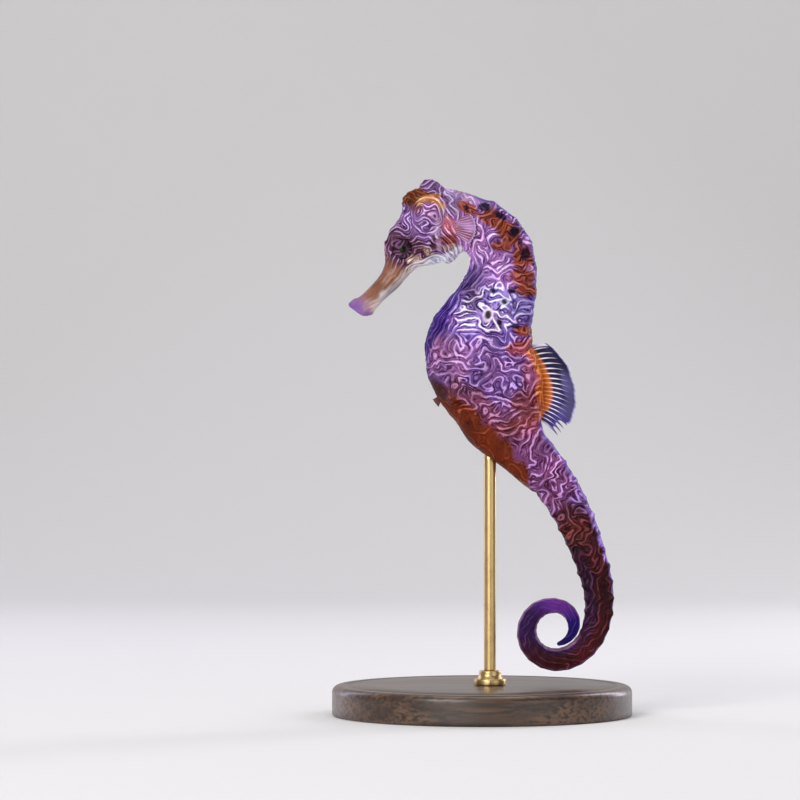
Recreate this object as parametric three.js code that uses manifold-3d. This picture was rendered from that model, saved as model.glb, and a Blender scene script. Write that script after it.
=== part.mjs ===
// A life-size seahorse, swimming upright with its tail curled, held by a round display stand.
// Millimetres, +Z up. The snout points to -X and the back to +X, and the animal's left side is -Y.
// The origin is the centre of the underside of the stand's base.
import * as THREE from "three";
import { mergeVertices } from "three/addons/utils/BufferGeometryUtils.js";
import Module from "manifold-3d";

const wasm = await Module();
wasm.setup();

// ---- Driving dimensions ----

const GAP = 0.3; // clear space between any two neighbouring pieces
const BEND_GAP = 0.4; // on the middle line of the coil, so that the inside of its bend keeps about GAP
const CLEARANCE = 0.36; // round the body for fins and coronet, where the rings slope away

const BASE_RADIUS = 30;
const BASE_HEIGHT = 6;
const BASE_EDGE = 1.4; // radius of the rounded upper edge
const ROD_X = 1.6; // under the animal's centre of mass
const ROD_RADIUS = 1.2;
const ROD_TOP = 56; // before it is cut to the pouch
const COLLAR_RADIUS = 3.2;
const COLLAR_HEIGHT = 2.6;
const COLLAR_SHOULDER = 0.45; // share of its height at which the collar starts to narrow
const COLLAR_NECK = 0.62; // its radius at the top, as a share

// The body from the mouth to the root of the tail, as sections across it. Each row holds the back
// edge (x, z), the belly edge (x, z), the half width, and the squareness of the outline.
const SECTIONS = [
  [-26.7, 82.2, -23.4, 79.8, 1.0, 2.0], // 0 lips
  [-25.7, 83.2, -21.9, 80.1, 1.75, 2.0],
  [-24.6, 83.6, -21.3, 81.1, 1.6, 2.0],
  [-22.8, 85.2, -19.6, 83.0, 1.5, 2.0], // 3 middle of the snout
  [-20.5, 87.8, -16.9, 85.4, 1.75, 2.0],
  [-19.4, 90.4, -14.6, 88.0, 2.3, 2.0], // 5 root of the snout
  [-19.4, 93.8, -12.6, 89.6, 3.1, 2.1],
  [-18.2, 96.6, -10.0, 90.0, 3.5, 2.1], // 7 behind the eye
  [-16.2, 100.0, -8.2, 90.5, 3.6, 2.1],
  [-15.1, 103.9, -6.6, 90.3, 3.5, 2.1],
  [-12.8, 105.3, -5.4, 91.1, 3.2, 2.0], // 10 under the coronet
  [-9.2, 105.4, -4.4, 92.3, 3.0, 2.0],
  [-5.5, 105.0, -3.7, 92.7, 2.9, 2.1], // 12 nape
  [-2.1, 104.2, -3.3, 92.6, 3.1, 2.2],
  [1.3, 103.0, -3.0, 92.3, 3.2, 2.2],
  [4.4, 101.4, -2.7, 91.8, 3.3, 2.2],
  [7.4, 98.8, -2.5, 91.0, 3.4, 2.2],
  [9.7, 95.5, -2.6, 90.0, 3.5, 2.2],
  [10.8, 91.4, -3.1, 88.6, 3.6, 2.2], // 18 first ring of the chest
  [11.1, 86.6, -4.9, 85.6, 3.9, 2.2],
  [10.9, 83.0, -7.4, 82.6, 4.4, 2.2],
  [10.3, 79.8, -9.7, 79.6, 5.0, 2.2],
  [10.1, 76.8, -11.2, 76.0, 5.6, 2.2],
  [10.3, 74.0, -11.6, 72.2, 6.0, 2.2], // 23 deepest section
  [11.2, 71.4, -11.1, 68.1, 6.1, 2.2],
  [12.1, 68.8, -9.9, 64.8, 5.9, 2.2],
  [12.5, 65.8, -7.8, 61.5, 5.5, 2.2],
  [12.5, 62.6, -5.2, 58.6, 5.0, 2.2],
  [12.1, 59.8, -3.0, 55.2, 4.6, 2.3],
  [12.0, 58.0, -0.4, 52.8, 4.3, 2.4], // 29 last ring of the trunk
  [12.8, 56.0, 3.8, 49.8, 4.0, 2.7],
  [15.0, 53.3, 7.8, 46.5, 3.8, 2.9],
  [17.85, 49.05, 10.65, 44.25, 3.7, 3.0], // 32 first rings of the tail
];
const NAPE = 12;
const TAIL_ROOT = 32;

// The tail: an easy curve down from its root, then a spiral that ends inside its own first turn.
const TAIL_CURVE = [
  [14.25, 46.65],
  [16.4, 43.4],
  [19.7, 36.7],
  [22.25, 29.5],
  [23.25, 25.2],
];
const COIL_X = 14.15;
const COIL_Z = 16.8;
const COIL_START = 25; // degrees up from +X
const COIL_TURN = 460; // degrees, clockwise seen from the left side
const COIL_STEP = 20;
const COIL_RADIUS = 5.1; // of the middle line where the turns are round
const COIL_WIDENING = 5.08; // added at the start of the spiral, fading as it turns
const COIL_FADE = 54; // degrees
const COIL_TUCK = 2.3; // how far the tip is drawn in
const TUCK_FROM = 318; // degrees round the coil
// Half depth of the tail at distances along it.
const TAIL_DEPTHS = [
  [0, 4.35],
  [10, 3.82],
  [20, 3.28],
  [30, 2.68],
  [40, 2.0],
  [50, 1.78],
  [60, 1.42],
  [70, 0.76],
  [80, 0.12],
];
const DEPTH_STEP = 10;
const TAIL_WIDTH_SHARE = 0.86; // half width over half depth
const TAIL_SQUARENESS = 3.0;
const TAIL_END = 71; // where the blunt tip is closed

// Bony rings: a low hoop at every ring, highest where it crosses the long ridges.
const RING_PITCH = 4.7; // on the trunk
const RING_PITCH_SHARE = 0.72; // of the half depth, on the tail
const RING_PITCH_LEAST = 0.9;
const RING_LINE = 0.6; // rings are spaced on a line this far from the middle to the back
const HOOP_HEIGHT = 0.34;
const RIDGE_HEIGHT = 0.3;
const RIDGE_WIDTH = 13; // degrees round the section
const TRUNK_RIDGES = [30, 90, 135]; // degrees round from the middle of the back, both sides
const TAIL_RIDGES = [45, 135];
const TRUNK_SECTIONS = 3; // for each ring
const TAIL_SECTIONS = 2;
const TRUNK_SIDES = 24;
const TAIL_SIDES = 16;

// Knobs where rings and ridges cross.
const KNOB_RADIUS = 0.85;
const KNOB_HEIGHT = 0.6;
const KNOB_SIDES = 5;
const KNOB_SUNK = 0.5; // share of a knob's height below the skin
const TALL_KNOB = 1.3; // every third ring carries larger knobs
const BACK_KNOB_SHARE = 0.5; // height of the knobs beside the middle of the back
const KNOBBED_TAIL_RINGS = 15;
const ROOM_LEAST = 0.7; // share of room at the bend of the neck below which a knob is left out
const SPINE_TIP = 0.2; // radius of a spine's blunt tip, as a share of its root
const SPINE_SIDES = 6;

// Blunt spines of the head, on both sides: root (x, y, z), direction, radius and height.
const HEAD_SPINES = [
  [-17.3, 2.3, 95.8, -0.7, 0.55, 0.75, 0.7, 1.0], // brow
  [-9.0, 2.7, 101.8, 0.2, 1, 0.6, 0.7, 0.8], // temple
  [-7.0, 1.9, 91.4, 0.1, 0.7, -1, 0.6, 0.9], // cheek
];
const FOREHEAD_SPINE = [-14.6, 0, 102.6, -0.75, 0, 0.66, 1.1, 1.0];

const EYE_X = -15.8;
const EYE_Z = 93.0;
const EYE_Y = 2.25;
const EYE_RADIUS = 2.05;
const EYE_BULGE = 1.7; // half thickness across the head
const LID_RADIUS = 2.3;
const LID_THICKNESS = 0.45;
const LID_Y = 2.95;

const GILL_X = -11.1;
const GILL_Z = 97.6;
const GILL_Y = 2.4;
const GILL_LENGTH = 3.1;
const GILL_HEIGHT = 4.5;
const GILL_BULGE = 1.5;
const GILL_LEAN = 14; // degrees

const NOSTRIL_X = -18.7;
const NOSTRIL_Z = 91.4;
const NOSTRIL_Y = 1.35;
const NOSTRIL_RADIUS = 0.32;
const NOSTRIL_DEPTH = 0.5;

const MOUTH_SLIT = 0.34;
const MOUTH_DEPTH = 1.3;
const MOUTH_OFFSET = 0.5; // of the slit towards the back of the snout

// The coronet: a wall round an oval that leans in and rises to five lobes, tallest in front.
const CROWN_X = -9.9;
const CROWN_Z = 104.3;
const CROWN_LENGTH = 3.0; // half its length at the foot
const CROWN_WIDTH = 1.8;
const CROWN_POINTS = 5;
const CROWN_LOW = 1.05; // height of the wall behind
const CROWN_RISE = 1.45; // more in front
const CROWN_LOBE = 0.42;
const CROWN_LEAN = 0.38; // share of the oval by which the wall leans in
const CROWN_FLOOR = 1.2; // height of the dish inside
const CROWN_WALL_STEPS = [0, 0.4, 0.75, 1];
const CROWN_DISH_STEPS = [0.35, 0.8];
const CROWN_SIDES = 20;

const POUCH_X = 0.7; // middle of the ellipse that bounds the pouch, seen from the side
const POUCH_Z = 52.4;
const POUCH_LENGTH = 11.6;
const POUCH_DEPTH = 4.6;
const POUCH_LEAN = -45.5; // degrees, long axis below +X
const POUCH_SWELL = 0.12;
const POUCH_FROM = 24; // rows of the sections between which the pouch is cut out
const POUCH_STEP = 0.5;
const POUCH_SUNK = 0.05;

const DORSAL_RAYS = 18;
const DORSAL_FROM = [9.8, 73.9];
const DORSAL_MIDDLE = [12.8, 65.6];
const DORSAL_TO = [11.8, 59.0];
const DORSAL_FAN = [23, -27]; // degrees above +X of the first and last rays at their roots
const DORSAL_BEND = 16; // degrees by which each ray bends down towards its tip
const DORSAL_LENGTHS = [3.1, 4.6, 5.3, 5.6, 6.0, 6.2, 6.3, 5.7, 4.7];
const DORSAL_WAVE = 0.35; // sideways, at the edge
const DORSAL_WAVE_TURNS = 1.2;
const PECTORAL_RAYS = 10;
const PECTORAL_ROOT = [-5.7, 97.4];
const PECTORAL_ROOT_HEIGHT = 2.6;
const PECTORAL_FAN = [22, -34];
const PECTORAL_LENGTH = 5.0;
const PECTORAL_CORNER = 0.82; // length of the first and last rays, as a share of the longest
const PECTORAL_CURL = 0.3; // outwards, at the edge
const PECTORAL_SPLAY = 24; // degrees away from the body
const PECTORAL_Y = 2.5;
const ANAL_RAYS = 4;
const ANAL_ROOT = [-8.8, 62.9];
const ANAL_FAN = [-150, -112];
const ANAL_LENGTH = 1.1;
const ANAL_ROOT_SPAN = [0.8, 1.2]; // along x and z
const MEMBRANE = 0.5;
const RAY_THICKNESS = 0.86;
const RAY_TAPER = 0.75;
const FIN_EDGE = 0.95; // reach of the film between two rays
const FIN_ROOT_SUNK = 0.9; // of a fin's root, before it is cut back to the body

const COLOURS = {
  skin: 0x8f6fa6,
  orangeSkin: 0xa85a2c,
  snoutSkin: 0xa9794f,
  maroonSkin: 0x6a2f4a,
  fin: 0x6a6fb0,
  eye: 0x1a1208,
  wood: 0x8a6a48,
  brass: 0xb08d4a,
};

// ---- Numbers and splines ----

const radians = (degrees) => (degrees * Math.PI) / 180;
const mix = (a, b, f) => a + (b - a) * f;
const clamp = (v, low, high) => Math.min(Math.max(v, low), high);
const smooth = (v, from, to) => {
  const f = clamp((v - from) / (to - from), 0, 1);
  return f * f * (3 - 2 * f);
};

// Catmull-Rom spline through rows of numbers, where t counts the rows from 0.
function splineRow(rows, t) {
  const last = rows.length - 1;
  const i = clamp(Math.floor(t), 0, last - 1);
  const f = t - i;
  return rows[i].map((p1, k) => {
    const p2 = rows[i + 1][k];
    const p0 = i > 0 ? rows[i - 1][k] : 2 * p1 - p2;
    const p3 = i + 2 <= last ? rows[i + 2][k] : 2 * p2 - p1;
    const m1 = (p2 - p0) / 2;
    const m2 = (p3 - p1) / 2;
    const a = 2 * p1 - 2 * p2 + m1 + m2;
    const b = -3 * p1 + 3 * p2 - 2 * m1 - m2;
    return ((a * f + b) * f + m1) * f + p1;
  });
}

// ---- The tail's middle line ----

function coilPoint(turned) {
  const angle = radians(COIL_START - turned);
  const tuck = COIL_TUCK * smooth(turned, TUCK_FROM, COIL_TURN);
  const radius = COIL_RADIUS + COIL_WIDENING * Math.exp(-turned / COIL_FADE) - tuck;
  return [COIL_X + radius * Math.cos(angle), COIL_Z + radius * Math.sin(angle)];
}

const tailPoints = [...TAIL_CURVE];
for (let turned = 0; turned <= COIL_TURN; turned += COIL_STEP) {
  tailPoints.push(coilPoint(turned));
}

const TAIL_SAMPLES_PER_POINT = 16;
const tailLine = [];
for (let k = 0; k <= (tailPoints.length - 1) * TAIL_SAMPLES_PER_POINT; k += 1) {
  const [x, z] = splineRow(tailPoints, k / TAIL_SAMPLES_PER_POINT);
  const before = tailLine[k - 1];
  const along = before ? before.along + Math.hypot(x - before.x, z - before.z) : 0;
  tailLine.push({ x, z, along });
}

function tailPointAt(along) {
  let k = 1;
  while (k < tailLine.length - 1 && tailLine[k].along < along) k += 1;
  const a = tailLine[k - 1];
  const b = tailLine[k];
  const f = (along - a.along) / (b.along - a.along);
  return [mix(a.x, b.x, f), mix(a.z, b.z, f)];
}

// ---- Sections of the whole animal ----

// The section at q: up to TAIL_ROOT, q counts the rows of SECTIONS, and past it, millimetres along
// the tail. The back direction is (backX, backZ), and the tail lies to (backZ, -backX).
function sectionAt(q) {
  if (q <= TAIL_ROOT) {
    const [dx, dz, vx, vz, width, square] = splineRow(SECTIONS, q);
    const depth = Math.hypot(dx - vx, dz - vz) / 2;
    return {
      x: (dx + vx) / 2,
      z: (dz + vz) / 2,
      backX: (dx - vx) / (2 * depth),
      backZ: (dz - vz) / (2 * depth),
      depth,
      width,
      square,
    };
  }
  const along = q - TAIL_ROOT;
  const [x, z] = tailPointAt(along);
  const [x1, z1] = tailPointAt(along - 0.2);
  const [x2, z2] = tailPointAt(along + 0.2);
  const length = Math.hypot(x2 - x1, z2 - z1);
  const [, depth] = splineRow(TAIL_DEPTHS, along / DEPTH_STEP);
  return {
    x,
    z,
    backX: -(z2 - z1) / length,
    backZ: (x2 - x1) / length,
    depth,
    width: depth * TAIL_WIDTH_SHARE,
    square: TAIL_SQUARENESS,
  };
}

// Rings are counted along a line nearer to the back than to the belly, from the nape to the tip.
const RING_SAMPLE = 0.05;
const ringTable = [];
for (let q = NAPE, ring = 0, was = null; q <= TAIL_ROOT + TAIL_END; q += RING_SAMPLE) {
  const s = sectionAt(q);
  const x = s.x + RING_LINE * s.depth * s.backX;
  const z = s.z + RING_LINE * s.depth * s.backZ;
  const pitch = Math.min(RING_PITCH, RING_PITCH_LEAST + RING_PITCH_SHARE * s.depth);
  if (was) ring += Math.hypot(x - was.x, z - was.z) / pitch;
  ringTable.push({ q, ring });
  was = { x, z };
}

function ringOf(q) {
  const k = clamp(Math.floor((q - NAPE) / RING_SAMPLE), 0, ringTable.length - 2);
  const f = (q - ringTable[k].q) / RING_SAMPLE;
  return mix(ringTable[k].ring, ringTable[k + 1].ring, f);
}

// The count is shifted so that the tail's root lies midway between two rings.
const rootRing = ringOf(TAIL_ROOT);
const ringShift = Math.floor(rootRing) + 0.5 - rootRing;
for (const row of ringTable) row.ring += ringShift;
const LAST_RING = ringTable[ringTable.length - 1].ring;

function placeOfRing(ring) {
  const k = ringTable.findIndex((row) => row.ring >= ring);
  if (k <= 0) return k === 0 ? NAPE : TAIL_ROOT + TAIL_END;
  const a = ringTable[k - 1];
  const b = ringTable[k];
  return mix(a.q, b.q, (ring - a.ring) / (b.ring - a.ring));
}

// How nearly a direction round the section lies on one of the long ridges, from 0 to 1.
function onRidge(degrees, q) {
  const tailness = smooth(q, TAIL_ROOT - 4, TAIL_ROOT);
  const turn = Math.abs(degrees > 180 ? degrees - 360 : degrees);
  const near = (angles) =>
    Math.max(...angles.map((angle) => Math.exp(-(((turn - angle) / RIDGE_WIDTH) ** 2))));
  return mix(near(TRUNK_RIDGES), near(TAIL_RIDGES), tailness);
}

// A point of the skin at q, turned by degrees from the middle of the back towards the left side.
function skinPoint(q, degrees, form) {
  const s = sectionAt(q);
  const c = Math.cos(radians(degrees));
  const d = Math.sin(radians(degrees));
  const power = 2 / s.square;
  const back = Math.sign(c) * Math.abs(c) ** power * s.depth;
  const left = Math.sign(d) * Math.abs(d) ** power * s.width * form.widen;
  const reach = Math.hypot(back, left);
  let raised = form.grow;
  if (form.ringed && q > NAPE) {
    const size = smooth(q, NAPE, NAPE + 2) * clamp(s.depth / 3.6, 0.25, 1);
    const ridge = onRidge(degrees, q);
    const crest = (0.5 + 0.5 * Math.cos(2 * Math.PI * ringOf(q))) ** 1.5;
    const hoop = HOOP_HEIGHT * crest * (0.4 + 0.6 * ridge);
    raised += size * (hoop + RIDGE_HEIGHT * ridge - RIDGE_HEIGHT) * roomToRaise(q, c);
  }
  const scale = (reach + raised) / reach;
  return new THREE.Vector3(
    s.x + s.backX * back * scale,
    -left * scale,
    s.z + s.backZ * back * scale,
  );
}

// In the bend of the neck the sections fan out from the throat, so raised forms fade towards it.
function roomToRaise(q, c) {
  const a = sectionAt(q - 0.1);
  const b = sectionAt(q + 0.1);
  const step = (side) =>
    Math.hypot(
      b.x + side * b.depth * b.backX - a.x - side * a.depth * a.backX,
      b.z + side * b.depth * b.backZ - a.z - side * a.depth * a.backZ,
    );
  const middle = Math.hypot(b.x - a.x, b.z - a.z);
  return clamp(mix(step(-1), step(1), (1 + c) / 2) / middle, 0, 1);
}

// ---- Solids ----

function solidFromArrays(points, faces) {
  const mesh = { numProp: 3, vertProperties: new Float32Array(points), triVerts: new Uint32Array(faces) };
  return new wasm.Manifold(new wasm.Mesh(mesh));
}

function solidFromGeometry(geometry) {
  const plain = geometry.clone();
  plain.deleteAttribute("normal");
  plain.deleteAttribute("uv");
  const merged = mergeVertices(plain, 1e-4);
  return solidFromArrays(merged.attributes.position.array, merged.index.array);
}

function largest(solid) {
  const bodies = solid.decompose();
  return bodies.reduce((best, body) => (body.volume() > best.volume() ? body : best));
}

function meshOf(name, solid, colour, roughness, metalness = 0) {
  const made = largest(solid).getMesh();
  const geometry = new THREE.BufferGeometry();
  const positions = new Float32Array(made.numVert * 3);
  for (let i = 0; i < made.numVert; i += 1) {
    const at = i * made.numProp;
    positions.set(made.vertProperties.subarray(at, at + 3), i * 3);
  }
  geometry.setAttribute("position", new THREE.BufferAttribute(positions, 3));
  geometry.setIndex(new THREE.BufferAttribute(made.triVerts, 1));
  geometry.computeVertexNormals();
  const material = new THREE.MeshStandardMaterial({ color: colour, roughness, metalness });
  const mesh = new THREE.Mesh(geometry, material);
  mesh.name = name;
  return mesh;
}

// A closed skin through rings of points, with a flat cap at each end.
function loft(rings) {
  const sides = rings[0].length;
  const points = rings.flat().flatMap((p) => [p.x, p.y, p.z]);
  const faces = [];
  for (let i = 0; i < rings.length - 1; i += 1) {
    for (let j = 0; j < sides; j += 1) {
      const k = (j + 1) % sides;
      const a = i * sides + j;
      const b = i * sides + k;
      const c = (i + 1) * sides + k;
      const d = (i + 1) * sides + j;
      faces.push(a, b, c, a, c, d);
    }
  }
  const end = (rings.length - 1) * sides;
  for (let j = 1; j < sides - 1; j += 1) {
    faces.push(0, j + 1, j);
    faces.push(end, end + j, end + j + 1);
  }
  return solidFromArrays(points, faces);
}

function loftBetween(places, sides, form) {
  const turns = [...Array(sides).keys()].map((j) => (360 * j) / sides);
  return loft(places.map((q) => turns.map((degrees) => skinPoint(q, degrees, form))));
}

// Places along the ringed body between two values of q, a few for each ring.
function ringPlaces(from, to, sections) {
  const places = [from];
  const first = Math.ceil(ringOf(from) * sections + 0.4);
  const last = Math.floor(ringOf(to) * sections - 0.4);
  for (let k = first; k <= last; k += 1) {
    places.push(placeOfRing(k / sections));
  }
  places.push(to);
  return places;
}

function placed(geometry, x, y, z) {
  return solidFromGeometry(geometry.translate(x, y, z));
}

function ellipsoid(radiusX, radiusY, radiusZ, wide, high) {
  return new THREE.SphereGeometry(1, wide, high).scale(radiusX, radiusY, radiusZ);
}

// A blunt spine whose root is sunk in the surface at a point, standing along a direction.
function spine(root, direction, radius, height, sides) {
  const total = height / (1 - KNOB_SUNK);
  const cone = new THREE.CylinderGeometry(radius * SPINE_TIP, radius, total, sides, 1);
  cone.translate(0, total / 2 - total * KNOB_SUNK, 0);
  const up = new THREE.Vector3(0, 1, 0);
  cone.applyQuaternion(new THREE.Quaternion().setFromUnitVectors(up, direction.clone().normalize()));
  return placed(cone, root.x, root.y, root.z);
}

const PLAIN = { ringed: false, grow: 0, widen: 1 };
const RINGED = { ringed: true, grow: 0, widen: 1 };

function skinNormal(q, degrees) {
  const along = skinPoint(q + 0.15, degrees, PLAIN).sub(skinPoint(q - 0.15, degrees, PLAIN));
  const round = skinPoint(q, degrees + 2, PLAIN).sub(skinPoint(q, degrees - 2, PLAIN));
  return round.cross(along).normalize();
}

function knobs(firstRing, lastRing, ridges, grow = 0) {
  const made = [];
  for (let ring = firstRing; ring <= lastRing; ring += 1) {
    const q = placeOfRing(ring);
    const s = sectionAt(q);
    const size = clamp(s.depth / 5, 0.45, 1) * (ring % 3 === 1 ? TALL_KNOB : 1);
    for (const ridge of ridges) {
      const room = roomToRaise(q, Math.cos(radians(ridge)));
      if (room < ROOM_LEAST) continue;
      const share = ridge === TRUNK_RIDGES[0] ? BACK_KNOB_SHARE : 1;
      for (const degrees of [ridge, 360 - ridge]) {
        const root = skinPoint(q, degrees, RINGED);
        const radius = KNOB_RADIUS * size + 1.5 * grow;
        const height = KNOB_HEIGHT * size * share + grow;
        made.push(spine(root, skinNormal(q, degrees), radius, height, KNOB_SIDES));
      }
    }
  }
  return made;
}

const join = (solids) => wasm.Manifold.union(solids);

// A thin box across the whole section at q, which parts the body there.
function parting(q) {
  const s = sectionAt(q);
  const box = new THREE.BoxGeometry(2 * s.depth + 4, 2 * s.width + 6, GAP);
  box.rotateY(-Math.atan2(s.backZ, s.backX));
  return placed(box, s.x, 0, s.z);
}

function headPlaces() {
  const places = [];
  for (let q = 0; q < NAPE; q += q < 2 || q >= 5 ? 0.5 : 1) places.push(q);
  return places;
}

// ---- Front of the body: snout, head, neck, trunk and the root of the tail ----

const LAST_TRUNK_RING = Math.floor(ringOf(29));
const frontPlaces = [...headPlaces(), ...ringPlaces(NAPE, TAIL_ROOT, TRUNK_SECTIONS)];

const SIDES = [-1, 1]; // left is -Y, right is +Y

function eyeball(grow) {
  return ellipsoid(EYE_RADIUS + grow, EYE_BULGE + grow, EYE_RADIUS + grow, 16, 10);
}

function gillCover(side, grow) {
  const cover = ellipsoid(GILL_LENGTH + grow, GILL_BULGE + grow, GILL_HEIGHT + grow, 14, 8);
  return placed(cover.rotateY(radians(GILL_LEAN)), GILL_X, side * GILL_Y, GILL_Z);
}

function headSpine([x, y, z, dx, dy, dz, radius, height], side) {
  const root = new THREE.Vector3(x, side * y, z);
  return spine(root, new THREE.Vector3(dx, side * dy, dz), radius, height, SPINE_SIDES);
}

function headForms() {
  const made = [];
  for (const side of SIDES) {
    const lid = new THREE.TorusGeometry(LID_RADIUS, LID_THICKNESS, 5, 18).rotateX(Math.PI / 2);
    made.push(placed(lid, EYE_X, side * LID_Y, EYE_Z));
    made.push(gillCover(side, 0));
    for (const row of HEAD_SPINES) made.push(headSpine(row, side));
  }
  made.push(headSpine(FOREHEAD_SPINE, 1));
  return made;
}

function headCuts() {
  const made = [];
  for (const side of SIDES) {
    made.push(placed(eyeball(GAP), EYE_X, side * EYE_Y, EYE_Z));
    const nostril = ellipsoid(NOSTRIL_RADIUS, NOSTRIL_DEPTH, NOSTRIL_RADIUS, 8, 6);
    made.push(placed(nostril, NOSTRIL_X, side * NOSTRIL_Y, NOSTRIL_Z));
  }
  const lips = sectionAt(0);
  const slit = new THREE.BoxGeometry(MOUTH_SLIT, 6, 2 * MOUTH_DEPTH);
  slit.rotateY(-Math.atan2(lips.backZ, lips.backX));
  const x = lips.x + MOUTH_OFFSET * lips.backX;
  made.push(placed(slit, x, 0, lips.z + MOUTH_OFFSET * lips.backZ));
  return made;
}

function pouchBounds(grow) {
  const ring = new THREE.CylinderGeometry(1, 1, 24, 40);
  ring.scale(POUCH_LENGTH + grow, 1, POUCH_DEPTH + grow);
  ring.rotateY(radians(-POUCH_LEAN));
  return placed(ring, POUCH_X, 0, POUCH_Z);
}

const front = join([
  loftBetween(frontPlaces, TRUNK_SIDES, RINGED),
  ...headForms(),
  ...knobs(1, LAST_TRUNK_RING, TRUNK_RIDGES),
  ...knobs(LAST_TRUNK_RING + 1, Math.floor(ringOf(TAIL_ROOT)), TAIL_RIDGES),
]);

const PARTINGS = {
  snout: 5,
  head: 11.5,
  neck: placeOfRing(Math.round(ringOf(17.8)) + 0.5),
  trunk_upper: placeOfRing(Math.round(ringOf(22.6)) + 0.5),
  trunk_lower: placeOfRing(LAST_TRUNK_RING + 0.5),
  tail_1: TAIL_ROOT,
};
const frontCuts = [...headCuts(), pouchBounds(GAP)];
for (const q of Object.values(PARTINGS).slice(0, -1)) frontCuts.push(parting(q));
const frontBodies = front.subtract(join(frontCuts)).decompose();

function centreOf(solid) {
  const box = solid.boundingBox();
  return [0, 1, 2].map((k) => (box.min[k] + box.max[k]) / 2);
}

// The body of the parted front whose middle lies nearest to a section.
function bodyNear(q) {
  const s = sectionAt(q);
  const away = (solid) => {
    const [x, , z] = centreOf(solid);
    return Math.hypot(x - s.x, z - s.z);
  };
  const sizable = frontBodies.filter((body) => body.volume() > 5);
  return sizable.reduce((best, body) => (away(body) < away(best) ? body : best));
}

const seahorse = new THREE.Group();
let startsAt = 0;
for (const [name, endsAt] of Object.entries(PARTINGS)) {
  const colour = name === "snout" ? COLOURS.snoutSkin : COLOURS.skin;
  seahorse.add(meshOf(name, bodyNear((startsAt + endsAt) / 2), colour, 0.6));
  startsAt = endsAt;
}

// ---- Brood pouch ----

const pouchPlaces = [];
for (let q = POUCH_FROM; q < TAIL_ROOT; q += POUCH_STEP) pouchPlaces.push(q);
const pouchForm = { ringed: false, grow: -POUCH_SUNK, widen: 1 + POUCH_SWELL };
const pouch = loftBetween(pouchPlaces, TRUNK_SIDES, pouchForm).intersect(pouchBounds(0));
seahorse.add(meshOf("brood_pouch", pouch, COLOURS.orangeSkin, 0.5));

// ---- Eyes ----

for (const side of SIDES) {
  const eye = placed(eyeball(0), EYE_X, side * EYE_Y, EYE_Z);
  seahorse.add(meshOf(side < 0 ? "eye_left" : "eye_right", eye, COLOURS.eye, 0.1));
}

// ---- Clearance around the body, for what grows from it ----

const bodyClearance = join([
  loftBetween(frontPlaces, TRUNK_SIDES, { ringed: true, grow: CLEARANCE, widen: 1 }),
  ...knobs(1, LAST_TRUNK_RING, TRUNK_RIDGES, CLEARANCE),
  ...SIDES.map((side) => gillCover(side, CLEARANCE)),
]);

// ---- Coronet ----

function coronetRing(wall, dish) {
  return [...Array(CROWN_SIDES).keys()].map((j) => {
    const turn = (2 * Math.PI * j) / CROWN_SIDES;
    const lobe = 0.5 + 0.5 * Math.cos(CROWN_POINTS * (turn - Math.PI));
    const ahead = 0.5 - 0.5 * Math.cos(turn);
    const tall = CROWN_LOW + CROWN_RISE * ahead + CROWN_LOBE * lobe * ahead;
    const up = wall * mix(tall, CROWN_FLOOR, smooth(dish, 0, 1));
    const out = (1 - CROWN_LEAN * wall) * (1 - dish);
    return new THREE.Vector3(
      CROWN_X + CROWN_LENGTH * out * Math.cos(turn),
      CROWN_WIDTH * out * Math.sin(turn),
      CROWN_Z + up,
    );
  });
}

function coronet() {
  const rings = CROWN_WALL_STEPS.map((wall) => coronetRing(wall, 0));
  for (const dish of CROWN_DISH_STEPS) rings.push(coronetRing(1, dish));
  return loft(rings);
}
seahorse.add(meshOf("coronet", coronet().subtract(bodyClearance), COLOURS.orangeSkin, 0.6));

// ---- Fins ----

// A fin on a grid: along its root (u) and out to its edge (v). Both faces carry the same grid and
// the same diagonals, half a thickness to each side of the middle sheet. Rays are ridges of it.
function fin(rays, rows, middle, across) {
  const columns = rays * 3;
  const faces = [];
  const points = [];
  for (const face of [1, -1]) {
    for (let i = 0; i <= columns; i += 1) {
      for (let j = 0; j <= rows; j += 1) {
        const u = i / columns;
        const v = j / rows;
        const onRay = i % 3 === 0 ? 1 : 0;
        const thick = mix(MEMBRANE, RAY_THICKNESS, onRay * (1 - RAY_TAPER * v));
        const p = middle(u, v * (onRay ? 1 : FIN_EDGE));
        p.addScaledVector(across(u, v), (face * thick) / 2);
        points.push(p.x, p.y, p.z);
      }
    }
  }
  const row = rows + 1;
  const other = (columns + 1) * row;
  for (let i = 0; i < columns; i += 1) {
    for (let j = 0; j < rows; j += 1) {
      const a = i * row + j;
      const b = a + row;
      faces.push(a, b, b + 1, a, b + 1, a + 1);
      faces.push(a + other, b + 1 + other, b + other, a + other, a + 1 + other, b + 1 + other);
    }
  }
  const rim = [];
  for (let i = 0; i <= columns; i += 1) rim.push(i * row);
  for (let j = 1; j <= rows; j += 1) rim.push(columns * row + j);
  for (let i = columns - 1; i >= 0; i -= 1) rim.push(i * row + rows);
  for (let j = rows - 1; j > 0; j -= 1) rim.push(j);
  rim.forEach((a, k) => {
    const b = rim[(k + 1) % rim.length];
    faces.push(a, b + other, b, a, a + other, b + other);
  });
  const solid = solidFromArrays(points, faces);
  if (solid.volume() > 0) return solid;
  return solidFromArrays(points, faces.reverse());
}

function fanned(root, degrees, reach) {
  const turn = radians(degrees);
  return new THREE.Vector3(root[0] + reach * Math.cos(turn), 0, root[1] + reach * Math.sin(turn));
}

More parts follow.
